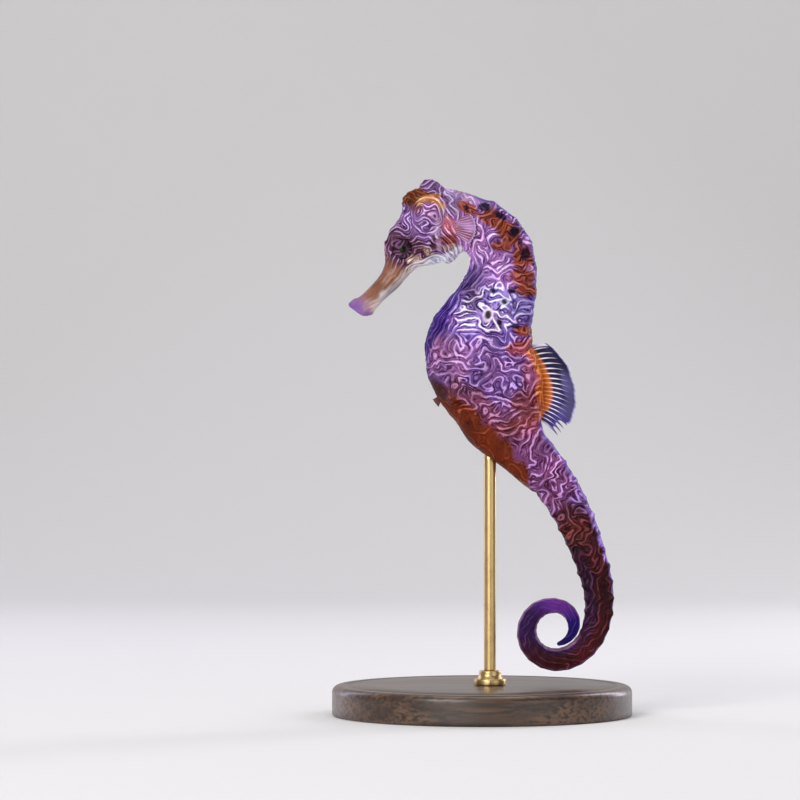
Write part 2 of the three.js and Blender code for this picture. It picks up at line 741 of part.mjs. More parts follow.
function dorsalFin() {
  const middle = (u, v) => {
    const [x, z] = splineRow([DORSAL_FROM, DORSAL_MIDDLE, DORSAL_TO], 2 * u);
    const [length] = splineRow(DORSAL_LENGTHS.map((l) => [l]), u * (DORSAL_LENGTHS.length - 1));
    const reach = mix(-FIN_ROOT_SUNK, length, v);
    const degrees = mix(DORSAL_FAN[0], DORSAL_FAN[1], u) - DORSAL_BEND * v ** 1.5;
    const p = fanned([x, z], degrees, reach);
    p.y = DORSAL_WAVE * v * Math.sin(2 * Math.PI * DORSAL_WAVE_TURNS * u);
    return p;
  };
  return fin(DORSAL_RAYS, 4, middle, () => new THREE.Vector3(0, 1, 0));
}
seahorse.add(meshOf("dorsal_fin", dorsalFin().subtract(bodyClearance), COLOURS.fin, 0.4));

function pectoralFin(side) {
  const splay = radians(PECTORAL_SPLAY);
  const middle = (u, v) => {
    const turn = mix(PECTORAL_FAN[0], PECTORAL_FAN[1], u);
    const rootZ = PECTORAL_ROOT[1] + PECTORAL_ROOT_HEIGHT * (0.5 - u);
    const length = PECTORAL_LENGTH * mix(PECTORAL_CORNER, 1, Math.sin(Math.PI * u));
    const reach = mix(-FIN_ROOT_SUNK, length, v);
    const p = fanned([PECTORAL_ROOT[0], rootZ], turn, reach * Math.cos(splay));
    p.y = side * (PECTORAL_Y + reach * Math.sin(splay) + PECTORAL_CURL * v * v);
    return p;
  };
  const outward = new THREE.Vector3(-Math.sin(splay), side * Math.cos(splay), 0);
  return fin(PECTORAL_RAYS, 3, middle, () => outward);
}
for (const side of SIDES) {
  const solid = pectoralFin(side).subtract(bodyClearance);
  seahorse.add(meshOf(side < 0 ? "pectoral_fin_left" : "pectoral_fin_right", solid, COLOURS.fin, 0.4));
}

function analFin() {
  const middle = (u, v) => {
    const root = [
      ANAL_ROOT[0] - ANAL_ROOT_SPAN[0] * (0.5 - u),
      ANAL_ROOT[1] + ANAL_ROOT_SPAN[1] * (0.5 - u),
    ];
    return fanned(root, mix(ANAL_FAN[0], ANAL_FAN[1], u), mix(-FIN_ROOT_SUNK, ANAL_LENGTH, v));
  };
  return fin(ANAL_RAYS, 3, middle, () => new THREE.Vector3(0, 1, 0));
}
seahorse.add(meshOf("anal_fin", analFin().subtract(bodyClearance), COLOURS.fin, 0.4));

// ---- Tail ----

const TAIL_LENGTHS = 7;
const firstTailRing = ringOf(TAIL_ROOT);
const ringsPerLength = (LAST_RING - firstTailRing) / TAIL_LENGTHS;
for (let k = 0; k < TAIL_LENGTHS; k += 1) {
  const fromRing = k === 0 ? firstTailRing : Math.round(firstTailRing + k * ringsPerLength) - 0.5;
  const toRing = Math.round(firstTailRing + (k + 1) * ringsPerLength) - 0.5;
  const from = k === 0 ? TAIL_ROOT + GAP : placeOfRing(fromRing) + BEND_GAP / 2;
  const to = k === TAIL_LENGTHS - 1 ? TAIL_ROOT + TAIL_END : placeOfRing(toRing) - BEND_GAP / 2;
  const solids = [loftBetween(ringPlaces(from, to, TAIL_SECTIONS), TAIL_SIDES, RINGED)];
  const lastKnobbed = Math.min(Math.floor(toRing), LAST_TRUNK_RING + KNOBBED_TAIL_RINGS);
  solids.push(...knobs(Math.ceil(fromRing), lastKnobbed, TAIL_RIDGES));
  seahorse.add(meshOf("tail_" + (k + 2), join(solids), COLOURS.maroonSkin, 0.6));
}

// ---- Stand ----

function lathe(profile, segments) {
  const points = profile.map(([r, z]) => new THREE.Vector2(r, z));
  return new THREE.LatheGeometry(points, segments).rotateX(Math.PI / 2);
}

function base() {
  const profile = [[0, 0], [BASE_RADIUS - 0.5, 0], [BASE_RADIUS, 0.5]];
  for (let degrees = 0; degrees <= 90; degrees += 30) {
    const r = BASE_RADIUS - BASE_EDGE * (1 - Math.cos(radians(degrees)));
    const z = BASE_HEIGHT - BASE_EDGE * (1 - Math.sin(radians(degrees)));
    profile.push([r, z]);
  }
  profile.push([0, BASE_HEIGHT]);
  return solidFromGeometry(lathe(profile, 36));
}

function collar() {
  const bottom = BASE_HEIGHT + GAP;
  const bore = ROD_RADIUS + GAP;
  const profile = [
    [bore, bottom],
    [COLLAR_RADIUS, bottom],
    [COLLAR_RADIUS, bottom + COLLAR_HEIGHT * COLLAR_SHOULDER],
    [COLLAR_RADIUS * COLLAR_NECK, bottom + COLLAR_HEIGHT],
    [bore, bottom + COLLAR_HEIGHT],
    [bore, bottom],
  ];
  return solidFromGeometry(lathe(profile, 20)).translate([ROD_X, 0, 0]);
}

function rod() {
  const bottom = BASE_HEIGHT + GAP;
  const pin = new THREE.CylinderGeometry(ROD_RADIUS, ROD_RADIUS, ROD_TOP - bottom, 16);
  pin.rotateX(Math.PI / 2);
  const clearPlaces = pouchPlaces.filter((q) => q > POUCH_FROM + 1);
  const clearForm = { ringed: false, grow: GAP, widen: 1 + POUCH_SWELL };
  const clearPouch = loftBetween(clearPlaces, TRUNK_SIDES, clearForm);
  const whole = placed(pin, ROD_X, 0, (ROD_TOP + bottom) / 2);
  const bodies = whole.subtract(clearPouch).decompose();
  return bodies.reduce((low, body) => (centreOf(body)[2] < centreOf(low)[2] ? body : low));
}

seahorse.add(meshOf("stand_base", base(), COLOURS.wood, 0.5));
seahorse.add(meshOf("stand_collar", collar(), COLOURS.brass, 0.3, 1));
seahorse.add(meshOf("stand_rod", rod(), COLOURS.brass, 0.3, 1));

export default seahorse;
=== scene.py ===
# %% [markdown]
# # A seahorse on a display stand
#
# The real thing is a museum cast: a life-size seahorse in painted resin, with a ringed and knobbed
# skin, small fins like pleated paper and a tail that ends in a coil. It stands on a turned base.
# A solid model of it is loaded first as a fixed frame. Here its plain solids get their skin,
# markings, eyes, fins and finishes. All lengths below are millimetres until a mesh is made.

# %% Load the frame
import math

import bpy
import numpy as np
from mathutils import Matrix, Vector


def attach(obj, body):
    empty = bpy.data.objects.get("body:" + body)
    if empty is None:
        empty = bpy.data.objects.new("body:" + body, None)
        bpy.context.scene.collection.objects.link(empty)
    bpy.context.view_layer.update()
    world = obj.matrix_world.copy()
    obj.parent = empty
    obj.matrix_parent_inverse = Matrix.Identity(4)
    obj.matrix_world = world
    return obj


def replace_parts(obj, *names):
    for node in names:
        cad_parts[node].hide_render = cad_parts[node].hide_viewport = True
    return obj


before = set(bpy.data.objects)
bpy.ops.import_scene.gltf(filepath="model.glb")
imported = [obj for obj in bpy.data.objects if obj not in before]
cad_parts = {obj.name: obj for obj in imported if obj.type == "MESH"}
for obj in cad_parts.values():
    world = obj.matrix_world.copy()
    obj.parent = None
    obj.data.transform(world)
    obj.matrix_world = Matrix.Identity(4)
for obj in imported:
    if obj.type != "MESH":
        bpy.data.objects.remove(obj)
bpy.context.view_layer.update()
MM = 0.001
BODY = "root"

# %% [markdown]
# ## The camera
#
# The animal is seen square on to its left side, as in a plate of a natural history book. A long
# lens from far off keeps the snout and the tail in true proportion. A short lens close by would
# swell the nearer flank, so the camera stands back and the lens does the enlarging.

# %% Camera
camera_data = bpy.data.cameras.new("plate_camera")
camera_data.lens = 180.0
camera_data.sensor_width = 36.0
camera_data.clip_end = 10.0
camera = bpy.data.objects.new("plate_camera", camera_data)
camera.location = (-0.0164, -0.8, 0.063)
camera.rotation_euler = (math.radians(90.0), 0.0, 0.0)
bpy.context.collection.objects.link(camera)
bpy.context.scene.camera = camera
bpy.context.scene.view_settings.view_transform = "Standard"

# %% [markdown]
# ## Helpers for whole arrays
#
# Every surface here is a table of points, worked out with numpy in one go. A few small tools serve
# all of them: smooth steps and bells, a spline through rows of numbers, a cloudy random field, and
# a builder that wraps a table of points into a closed mesh.

# %% Steps, splines and clouds
CLOUD_WAVES = 28
CLOUD_SLOWEST = 0.45  # the lowest pitch of a cloud's waves, as a share of the highest


def smooth(v, start, stop):
    """0 before start, 1 after stop, and the cubic 3f^2 - 2f^3 between them."""
    f = np.clip((v - start) / (stop - start), 0.0, 1.0)
    return f * f * (3.0 - 2.0 * f)


def fade(v, start, stop):
    """The reverse: 1 before start and 0 after stop."""
    return 1 - smooth(v, start, stop)


def span(v, a, b, c, d):
    """0 before a, 1 from b to c, and 0 after d."""
    return smooth(v, a, b) * fade(v, c, d)


def bell(v, middle, width):
    """A bell-shaped curve that is 1 at its middle and 0.37 one width away from it."""
    return np.exp(-(((v - middle) / width) ** 2))


def wave(v):
    """A cosine that runs from 1 down to 0 and back to 1 while v goes up by 1."""
    return 0.5 + 0.5 * np.cos(math.tau * v)


def blend(a, b, f):
    """a + (b - a) f, for numbers or for arrays of colours with f as one column."""
    return a + (b - a) * f


def spline_rows(rows, t):
    """Catmull-Rom spline through the rows, where t counts rows from 0: each cubic leaves a row with
    half the step from the row before it to the row after it."""
    rows = np.asarray(rows, float)
    if rows.ndim == 1:
        rows = rows[:, None]
    padded = np.vstack([2 * rows[0] - rows[1], rows, 2 * rows[-1] - rows[-2]])
    i = np.clip(np.floor(t).astype(int), 0, len(rows) - 2)
    f = (t - i)[:, None]
    p0, p1, p2, p3 = (padded[i + k] for k in range(4))
    m1, m2 = (p2 - p0) / 2, (p3 - p1) / 2
    return (((2 * p1 - 2 * p2 + m1 + m2) * f - 3 * p1 + 3 * p2 - 2 * m1 - m2) * f + m1) * f + p1


def cloud(points, size, seed):
    """A smooth random field about 0 with patches of roughly the given size: the mean of cosine
    waves of random direction and phase, scaled so that most values lie between -1 and 1."""
    draw = np.random.default_rng(seed)
    way = draw.normal(size=(CLOUD_WAVES, 3))
    pitch = (math.tau / size) * draw.uniform(CLOUD_SLOWEST, 1.0, (CLOUD_WAVES, 1))
    way *= pitch / np.linalg.norm(way, axis=1)[:, None]
    phase = draw.uniform(0, math.tau, CLOUD_WAVES)
    flat = points.reshape(-1, 3)
    total = np.zeros(len(flat))
    for k in range(CLOUD_WAVES):
        total += np.cos(flat @ way[k] + phase[k])
    return (total * math.sqrt(2.0 / CLOUD_WAVES)).reshape(points.shape[:-1])


def lengths(vectors):
    """The length of each vector of an array."""
    return np.linalg.norm(vectors, axis=-1)


def running_sum(steps):
    """Distances along a line, from 0, for the steps between its points."""
    return np.concatenate([[0.0], np.cumsum(steps)])


# %% From a table of points to a closed mesh
def mesh_from(name, points, faces, material, colours=(), values=()):
    """Puts points in millimetres and faces into a mesh object at the origin, with colour and number
    attributes on its points."""
    mesh = bpy.data.meshes.new(name)
    mesh.from_pydata((points * MM).tolist(), [], [tuple(f) for f in faces])
    mesh.validate()
    for key, table in colours:
        layer = mesh.attributes.new(key, "FLOAT_COLOR", "POINT")
        layer.data.foreach_set("color", np.hstack([table, np.ones((len(table), 1))]).ravel())
    for key, table in values:
        layer = mesh.attributes.new(key, "FLOAT", "POINT")
        layer.data.foreach_set("value", np.asarray(table, float).ravel())
    mesh.polygons.foreach_set("use_smooth", np.ones(len(mesh.polygons), bool))
    mesh.materials.append(material)
    made = bpy.data.objects.new(name, mesh)
    bpy.context.collection.objects.link(made)
    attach(made, BODY)
    print(name + ":", len(mesh.vertices), "points,", len(mesh.polygons), "faces")
    return made


def tube_faces(rows, columns, offset=0):
    """Quads between the rows of a table whose columns close round."""
    i = np.arange(rows - 1)[:, None] * columns
    j = np.arange(columns)[None, :]
    k = (j + 1) % columns
    return np.stack([i + j, i + k, i + columns + k, i + columns + j], -1).reshape(-1, 4) + offset


def fan_faces(first, columns, pole, turned):
    """Triangles from one closed row of points to a pole."""
    j = np.arange(columns)
    k = (j + 1) % columns
    a, b = (k, j) if turned else (j, k)
    return np.stack([first + a, first + b, np.full(columns, pole)], -1)


def outward(points, faces):
    """The tables of faces, all turned round if the volume they enclose comes out negative."""
    volume = 0.0
    for table in faces:
        a, b, c = points[table[:, 0]], points[table[:, 1]], points[table[:, 2]]
        volume += np.einsum("ij,ij->i", a, np.cross(b, c)).sum()
        if table.shape[1] == 4:
            d = points[table[:, 3]]
            volume += np.einsum("ij,ij->i", a, np.cross(c, d)).sum()
    return [table if volume > 0 else table[:, ::-1] for table in faces]


def closed_tube(name, table, material, colours=(), values=()):
    """A table of rows that close round, with a pole at the middle of its first and last rows."""
    rows, columns = table.shape[:2]
    points = np.vstack([table.reshape(-1, 3), table[0].mean(0), table[-1].mean(0)])
    faces = [
        tube_faces(rows, columns),
        fan_faces(0, columns, rows * columns, True),
        fan_faces((rows - 1) * columns, columns, rows * columns + 1, False),
    ]
    faces = [tuple(f) for part in outward(points, faces) for f in part]

    def with_poles(t):
        t = t.reshape(rows, columns, -1)
        return np.vstack([t.reshape(rows * columns, -1), t[0].mean(0), t[-1].mean(0)])

    colours = [(key, with_poles(t)) for key, t in colours]
    values = [(key, with_poles(t)) for key, t in values]
    return mesh_from(name, points, faces, material, colours, values)


# %% [markdown]
# ## The body as a swept section
#
# A seahorse has no scales. Its skin is stretched over a cage of bony rings, so the body is a tube
# whose section changes slowly from the mouth to the tip of the tail. It could be sculpted, but a
# table of sections and a formula keep it in step with the solid model: each row gives the back
# edge, the belly edge, the half width and how square the section is. Past the last row the tail
# takes over, as a line that curves down and then winds into a spiral.

# %% Sections of the body
SECTIONS = [
    [-26.7, 82.2, -23.4, 79.8, 1.0, 2.0],
    [-25.7, 83.2, -21.9, 80.1, 1.75, 2.0],
    [-24.6, 83.6, -21.3, 81.1, 1.6, 2.0],
    [-22.8, 85.2, -19.6, 83.0, 1.5, 2.0],
    [-20.5, 87.8, -16.9, 85.4, 1.75, 2.0],
    [-19.4, 90.4, -14.6, 88.0, 2.3, 2.0],
    [-19.4, 93.8, -12.6, 89.6, 3.1, 2.1],
    [-18.2, 96.6, -10.0, 90.0, 3.5, 2.1],
    [-16.2, 100.0, -8.2, 90.5, 3.6, 2.1],
    [-15.1, 103.9, -6.6, 90.3, 3.5, 2.1],
    [-12.8, 105.3, -5.4, 91.1, 3.2, 2.0],
    [-9.2, 105.4, -4.4, 92.3, 3.0, 2.0],
    [-5.5, 105.0, -3.7, 92.7, 2.9, 2.1],
    [-2.1, 104.2, -3.3, 92.6, 3.1, 2.2],
    [1.3, 103.0, -3.0, 92.3, 3.2, 2.2],
    [4.4, 101.4, -2.7, 91.8, 3.3, 2.2],
    [7.4, 98.8, -2.5, 91.0, 3.4, 2.2],
    [9.7, 95.5, -2.6, 90.0, 3.5, 2.2],
    [10.8, 91.4, -3.1, 88.6, 3.6, 2.2],
    [11.1, 86.6, -4.9, 85.6, 3.9, 2.2],
    [10.9, 83.0, -7.4, 82.6, 4.4, 2.2],
    [10.3, 79.8, -9.7, 79.6, 5.0, 2.2],
    [10.1, 76.8, -11.2, 76.0, 5.6, 2.2],
    [10.3, 74.0, -11.6, 72.2, 6.0, 2.2],
    [11.2, 71.4, -11.1, 68.1, 6.1, 2.2],
    [12.1, 68.8, -9.9, 64.8, 5.9, 2.2],
    [12.5, 65.8, -7.8, 61.5, 5.5, 2.2],
    [12.5, 62.6, -5.2, 58.6, 5.0, 2.2],
    [12.1, 59.8, -3.0, 55.2, 4.6, 2.3],
    [12.0, 58.0, -0.4, 52.8, 4.3, 2.4],
    [12.8, 56.0, 3.8, 49.8, 4.0, 2.7],
    [15.0, 53.3, 7.8, 46.5, 3.8, 2.9],
    [17.85, 49.05, 10.65, 44.25, 3.7, 3.0],
]
SNOUT_ROOT, NAPE, TAIL_ROOT = 5, 12, 32  # rows of the table
TAIL_END = 71.0
TAIL_CURVE = [[14.25, 46.65], [16.4, 43.4], [19.7, 36.7], [22.25, 29.5], [23.25, 25.2]]
COIL_X, COIL_Z = 14.15, 16.8
COIL_START, COIL_TURN, COIL_STEP = 25.0, 460.0, 20.0
COIL_RADIUS, COIL_WIDENING, COIL_FADE = 5.1, 5.08, 54.0
COIL_TUCK, TUCK_FROM = 2.3, 318.0
TAIL_DEPTHS = [4.35, 4.08, 3.82, 3.56, 3.3, 3.06, 2.82, 2.58, 2.44, 2.3, 2.13, 1.84, 1.56, 1.36, 0.62, 0.05]
DEPTH_STEP = 5.0
TAIL_WIDTH_SHARE = 0.86
TAIL_SQUARENESS = 3.0
FINE = 64  # steps from one tail point to the next
TAIL_LEAD = 50  # steps by which the line is carried back, straight, before the first tail point
AIM = 0.2  # the tail's direction is taken over this length to either side

wound = np.arange(0.0, COIL_TURN + 1.0, COIL_STEP)
coil_angle = np.radians(COIL_START - wound)
coil_radius = COIL_RADIUS + COIL_WIDENING * np.exp(-wound / COIL_FADE)
coil_radius -= COIL_TUCK * smooth(wound, TUCK_FROM, COIL_TURN)
coil = np.stack([COIL_X + coil_radius * np.cos(coil_angle), COIL_Z + coil_radius * np.sin(coil_angle)], -1)
tail_points = np.vstack([TAIL_CURVE, coil])
tail_line = spline_rows(tail_points, np.arange((len(tail_points) - 1) * FINE + 1) / FINE)
steps = lengths(np.diff(tail_line, axis=0))
before = tail_line[0] - (tail_line[1] - tail_line[0]) * TAIL_LEAD
tail_along = np.concatenate([[-TAIL_LEAD * steps[0]], running_sum(steps)])
tail_line = np.vstack([before, tail_line])
print("tail line:", round(tail_along[-1], 1), "mm long")


def tail_at(along):
    """The point of the tail's middle line at a distance along it."""
    return np.stack([np.interp(along, tail_along, tail_line[:, k]) for k in (0, 1)], -1)


def section_at(q):
    """Middle point, back direction, half depth, half width and squareness of the sections at q,
    which counts rows of the table up to the tail's root and millimetres of tail past it."""
    body = spline_rows(SECTIONS, np.minimum(q, TAIL_ROOT))
    back_edge, belly_edge = body[:, 0:2], body[:, 2:4]
    span = (back_edge - belly_edge) / 2
    depth = lengths(span)
    trunk = np.column_stack([(back_edge + belly_edge) / 2, span / depth[:, None], depth, body[:, 4:6]])
    along = np.maximum(q - TAIL_ROOT, 0.0)
    way = tail_at(along + AIM) - tail_at(along - AIM)
    way /= lengths(way)[:, None]
    depth = spline_rows(TAIL_DEPTHS, along / DEPTH_STEP)[:, 0]
    square = np.full(len(q), TAIL_SQUARENESS)
    tail = np.column_stack([tail_at(along), -way[:, 1], way[:, 0], depth, depth * TAIL_WIDTH_SHARE, square])
    return np.where((q > TAIL_ROOT)[:, None], tail, trunk)


# %% Rings counted along the body
RING_PITCH, RING_PITCH_SHARE, RING_PITCH_LEAST, RING_LINE = 4.7, 0.72, 0.9, 0.6
Q_STEP = 0.02
fine_q = np.arange(0.0, TAIL_ROOT + TAIL_END + Q_STEP, Q_STEP)
fine = section_at(fine_q)
ring_line = fine[:, 0:2] + RING_LINE * fine[:, 4:5] * fine[:, 2:4]
ring_steps = lengths(np.diff(ring_line, axis=0))
pitch = np.minimum(RING_PITCH, RING_PITCH_LEAST + RING_PITCH_SHARE * fine[1:, 4])
fine_ring = running_sum(np.where(fine_q[1:] > NAPE, ring_steps / pitch, 0.0))
root_ring = np.interp(TAIL_ROOT, fine_q, fine_ring)
fine_ring += np.floor(root_ring) + 0.5 - root_ring
print("length along the rings:", round(ring_steps.sum(), 1), "mm;", int(fine_ring[-1]), "rings")

# %% [markdown]
# ## The table of skin points
#
# One skin covers the whole animal, so no seam shows where the solids meet. Its rows lie about a
# quarter of a millimetre apart, fine enough to carry the raised lines of the skin as real relief.
# Round each section the points are drawn closer at the narrow edges, where the curve is tight.

# %% Rows and columns
COLUMNS = 224
# Millimetres between the rows of points, given at rows of the table of sections.
ROW_STEPS = [(0, 0.3), (SNOUT_ROOT, 0.25), (NAPE, 0.25), (14, 0.28), (TAIL_ROOT, 0.28), (TAIL_ROOT + 8, 0.3)]

# The mouth: rows that roll over the lips and go in to a flat slit. Each has its depth share, width
# share, reach forward and shift towards the back of the snout. The tip of the tail has the same.
MOUTH_ROWS = 15
MOUTH = [
    [0.02, 0.30, -1.3, 0.45],
    [0.05, 0.62, -1.0, 0.45],
    [0.07, 0.78, -0.3, 0.45],
    [0.20, 0.86, 0.18, 0.40],
    [0.50, 0.91, 0.36, 0.25],
    [0.80, 0.96, 0.26, 0.10],
    [0.95, 0.99, 0.10, 0.0],
]
TIP = [
    [0.97, 0.97, -0.12, 0.0],
    [0.86, 0.86, -0.30, 0.0],
    [0.66, 0.66, -0.44, 0.0],
    [0.38, 0.38, -0.53, 0.0],
    [0.10, 0.10, -0.56, 0.0],
]

row_count = running_sum(ring_steps / np.interp(fine_q, *zip(*ROW_STEPS))[1:])
body_q = np.interp(np.arange(int(row_count[-1]) + 1), row_count, fine_q)


def with_ends(table):
    """The rows of the body, with the first and the last repeated for the mouth and the tip."""
    return np.concatenate([np.repeat(table[:1], MOUTH_ROWS, 0), table, np.repeat(table[-1:], len(TIP), 0)])


def by_row(places, numbers):
    """Numbers given at places along the body, as one column over the rows of the table."""
    return np.interp(row_q, places, numbers)[:, None]


section, row_q = with_ends(section_at(body_q)), with_ends(body_q)
row_ring = np.interp(row_q, fine_q, fine_ring)
mouth = spline_rows(MOUTH, np.linspace(0, len(MOUTH) - 1, MOUTH_ROWS))
ends = np.vstack([mouth, np.tile([1.0, 1.0, 0.0, 0.0], (len(body_q), 1)), TIP])
size, size_across, reach, lift = (ends[:, k : k + 1] for k in range(4))
half_depth, half_width, squareness = (section[:, k : k + 1] for k in (4, 5, 6))
ROWS = len(row_q)

ratio = half_depth / half_width
squeeze = (ratio - 1) / (2 * (ratio + 1))
even = math.tau * np.arange(COLUMNS) / COLUMNS
turn = even + squeeze * np.sin(2 * even)  # round from the middle of the back to the left
c, d = np.cos(turn), np.sin(turn)
back = np.sign(c) * np.abs(c) ** (2 / squareness) * (half_depth * size) + lift
left = np.sign(d) * np.abs(d) ** (2 / squareness) * (half_width * size_across)
X = section[:, 0:1] + section[:, 2:3] * back - section[:, 3:4] * reach
Z = section[:, 1:2] + section[:, 3:4] * back + section[:, 2:3] * reach
Y = -left
skin = np.stack([X, Y, Z], -1)
degrees = np.degrees(turn)
from_back = np.where(degrees > 180, 360 - degrees, degrees)  # 0 at the back, 180 at the belly
Q = np.repeat(row_q[:, None], COLUMNS, 1)
R = np.repeat(row_ring[:, None], COLUMNS, 1)
print("skin table:", ROWS, "rows of", COLUMNS)


# %% Directions on the skin
def step_round(table):
    """Half the step from the column before each point to the column after it."""
    return (np.roll(table, -1, 1) - np.roll(table, 1, 1)) / 2


down, across = np.gradient(skin, axis=0), step_round(skin)
normal = np.cross(across, down)  # outwards
normal /= np.maximum(lengths(normal), 1e-9)[..., None]
across_length = np.maximum(lengths(across), 0.01)
hoop = across / across_length[..., None]
lean = np.einsum("ijk,ijk->ij", down, hoop)
down_length = np.maximum(lengths(down - lean[..., None] * hoop), 0.03)
for title, table in ("rows", down_length), ("columns", across_length):
    print(title, "about", round(float(np.median(table)), 3), "mm apart")


def from_ellipse(x, z, rx, rz, lean_degrees):
    """Distance from a place as seen from the side, in radii of an ellipse round it. The lean turns
    its long axis up from +X."""
    a = math.radians(lean_degrees)
    u = ((X - x) * math.cos(a) + (Z - z) * math.sin(a)) / rx
    v = (-(X - x) * math.sin(a) + (Z - z) * math.cos(a)) / rz
    return np.hypot(u, v)


def spot(x, z, rx, rz, lean_degrees=0.0, edge=0.35):
    """1 inside such an ellipse and 0 outside, with a soft edge."""
    return fade(from_ellipse(x, z, rx, rz, lean_degrees), 1 - edge, 1 + edge)


# %% [markdown]
# ## Raised lines of the skin
#
# Close up, the skin is covered with winding ridges, pale on top and dark between, like the ridges
# of a fingertip. They could be painted one by one. Here they are the level lines of a slow field,
# as on a map of hills: a ridge runs wherever the field reaches a whole number. The field climbs
# steadily along the body, so its lines cross the body as hoops, and clouds added to it make them
# wave and close into loops. Where the hills are steep only every second line is kept, and where
# they are flat one more is put in, so the lines fork and their spacing stays even.

# %% Fields of the lines
EYE_X, EYE_Z = -15.8, 93.0
SWIRL_X, SWIRL_Z, SWIRL_PITCH = -10.8, 99.8, 1.05
FRONT_PITCH = 1.2
PULL, HILLS, SMALL_HILLS, NET_WAVES = 0.75, 0.78, 0.26, 0.45

spacing = by_row(
    [0, 5, 8, 11, 15, 19, 24, 34, 45, 60, 80, 102],
    [1.0, 0.95, 1.0, 1.1, 1.25, 1.35, 1.45, 1.45, 1.4, 1.25, 1.1, 0.9],
)
slant = by_row(
    [0, 4, 6, 10, 12, 18, 26, 29, 32, 38, 44, 60, 102],
    [88, 80, 62, 35, 12, 5, 0, 8, 15, 30, 55, 75, 85],
)
slant = np.radians(slant)
waves = by_row(
    [0, 4, 6, 8, 12, 15, 18, 20, 36, 44, 60, 102],
    [0.25, 0.3, 0.6, 0.85, 0.75, 0.8, 0.9, 1.05, 1.05, 0.75, 0.5, 0.25],
)
front_edge = smooth(from_back + 12 * cloud(skin, 3.4, 89), 118, 124) * smooth(Q, 14.5, 15.5)
front_edge *= fade(Q + 0.6 * cloud(skin, 3.4, 90), 22.2, 22.8)
pouch_area = spot(0.7, 52.4, 11.6, 4.6, -45.5, 0.12)
net_area = spot(1.6, 80.6, 6.4, 4.6, 10, 0.3)
swirl_area = spot(SWIRL_X, SWIRL_Z, 3.7, 4.2, 0, 0.2) * (np.abs(Y) > 0.8)
waves = waves + NET_WAVES * net_area

round_arc = np.cumsum(across_length, 1)
whole_arc = round_arc[:, -1:]
arc_from_back = np.minimum(round_arc, whole_arc - round_arc)
climb = np.cumsum(down_length.mean(1, keepdims=True) * np.cos(slant) / spacing, 0)
pulled = skin + PULL * np.stack([cloud(skin, 3.4, 91 + k) for k in range(3)], -1)
hills = HILLS * cloud(pulled, 4.6, 81) + SMALL_HILLS * cloud(pulled, 2.4, 82)
field_a = climb - arc_from_back * np.sin(slant) / spacing + waves * hills
field_front = (whole_arc / 2 - arc_from_back) / FRONT_PITCH
field_front = field_front + 0.42 * cloud(skin, 5.0, 83) + 0.22 * cloud(skin, 2.2, 84)
from_swirl = np.hypot(X - SWIRL_X, (Z - SWIRL_Z) * 0.88)
field_swirl = from_swirl / SWIRL_PITCH + 0.5 * cloud(skin, 3.2, 85) * fade(from_swirl, 2.0, 3.2)
field_swirl = field_swirl + 0.1 * cloud(skin, 2.0, 88)
field_pouch = 0.8 * cloud(skin, 4.4, 86) + 0.25 * cloud(skin, 2.0, 87) + 0.25 * arc_from_back
field_b = np.where(pouch_area > 0.001, field_pouch, np.where(swirl_area > 0.001, field_swirl, field_front))
share_b = np.maximum.reduce([pouch_area, swirl_area, front_edge])

# %% Keeping the spacing even
OCTAVES = (-2, -1, 0, 1, 2)


def octave(field):
    """0 where the lines lie one spacing apart, 1 where they lie two apart, so that twice as many
    are wanted, and -1 where they lie half a spacing apart: minus the logarithm to base 2 of the
    field's rise over one spacing, averaged a little over the neighbours."""
    steep = np.hypot(np.gradient(field, axis=0) / down_length, step_round(field) / across_length)
    steep = steep * spacing
    for _ in range(3):
        steep = (np.roll(steep, 1, 1) + 2 * steep + np.roll(steep, -1, 1)) / 4
        steep[1:-1] = (steep[:-2] + 2 * steep[1:-1] + steep[2:]) / 4
    return np.clip(-np.log2(np.maximum(steep, 0.05)), OCTAVES[0], OCTAVES[-2])


def lines_of(field, tilt):
    """The octave of a field, and its lines: a sum of waves over k, each weighted by 1 less its
    distance from the octave. A wave is cos(p + tilt cos(p)) with p = 2 pi field 2^k, which is
    steep on one side and slow on the other."""
    level = octave(field)
    total = np.zeros_like(field)
    for k in OCTAVES:
        phase = math.tau * 2.0**k * field
        total += np.maximum(1 - np.abs(level - k), 0) * np.cos(phase + tilt * np.cos(phase))
    return level, total


tilt = 0.8 * np.tanh(2.0 * cloud(skin, 4.0, 95))
octave_a, lines_a = lines_of(field_a, tilt)
octave_b, lines_b = lines_of(field_b, tilt)
ridges = blend(lines_a, lines_b, share_b)
crests, grooves = float((ridges > 0.5).mean()), float((ridges < -0.5).mean())
print("lines: share on crests", round(crests, 2), "in grooves", round(grooves, 2))

# %% [markdown]
# ## Forms of the head, rings and knobs
#
# Under the fine ridges lie the larger forms: the gill cover, the ring of skin round the eye, short
# spines on brow, temple and cheek, the nostrils and the line of the mouth. Along the body a low
# hoop marks every bony ring, and where a hoop crosses one of the long ridges a knob stands up.
# All of them are pushed out or in along the normal of the plain tube.

# %% Rings, long ridges and knobs
HOOP_HEIGHT, RIDGE_HEIGHT, RIDGE_WIDTH = 0.34, 0.3, 13.0
TRUNK_RIDGES, TAIL_RIDGES = (30, 90, 135), (45, 135)
KNOB_RADIUS, TAIL_KNOB_RADIUS, KNOB_HEIGHT, TALL_KNOB, LOW_KNOB = 0.85, 1.105, 0.6, 1.3, 0.5
KNOBBED_TAIL_RINGS, LAST_TRUNK_ROW = 15, 29
HOOP_FULL, KNOB_FULL = 3.6, 5.0  # half depth of the body where hoops and knobs have their full size

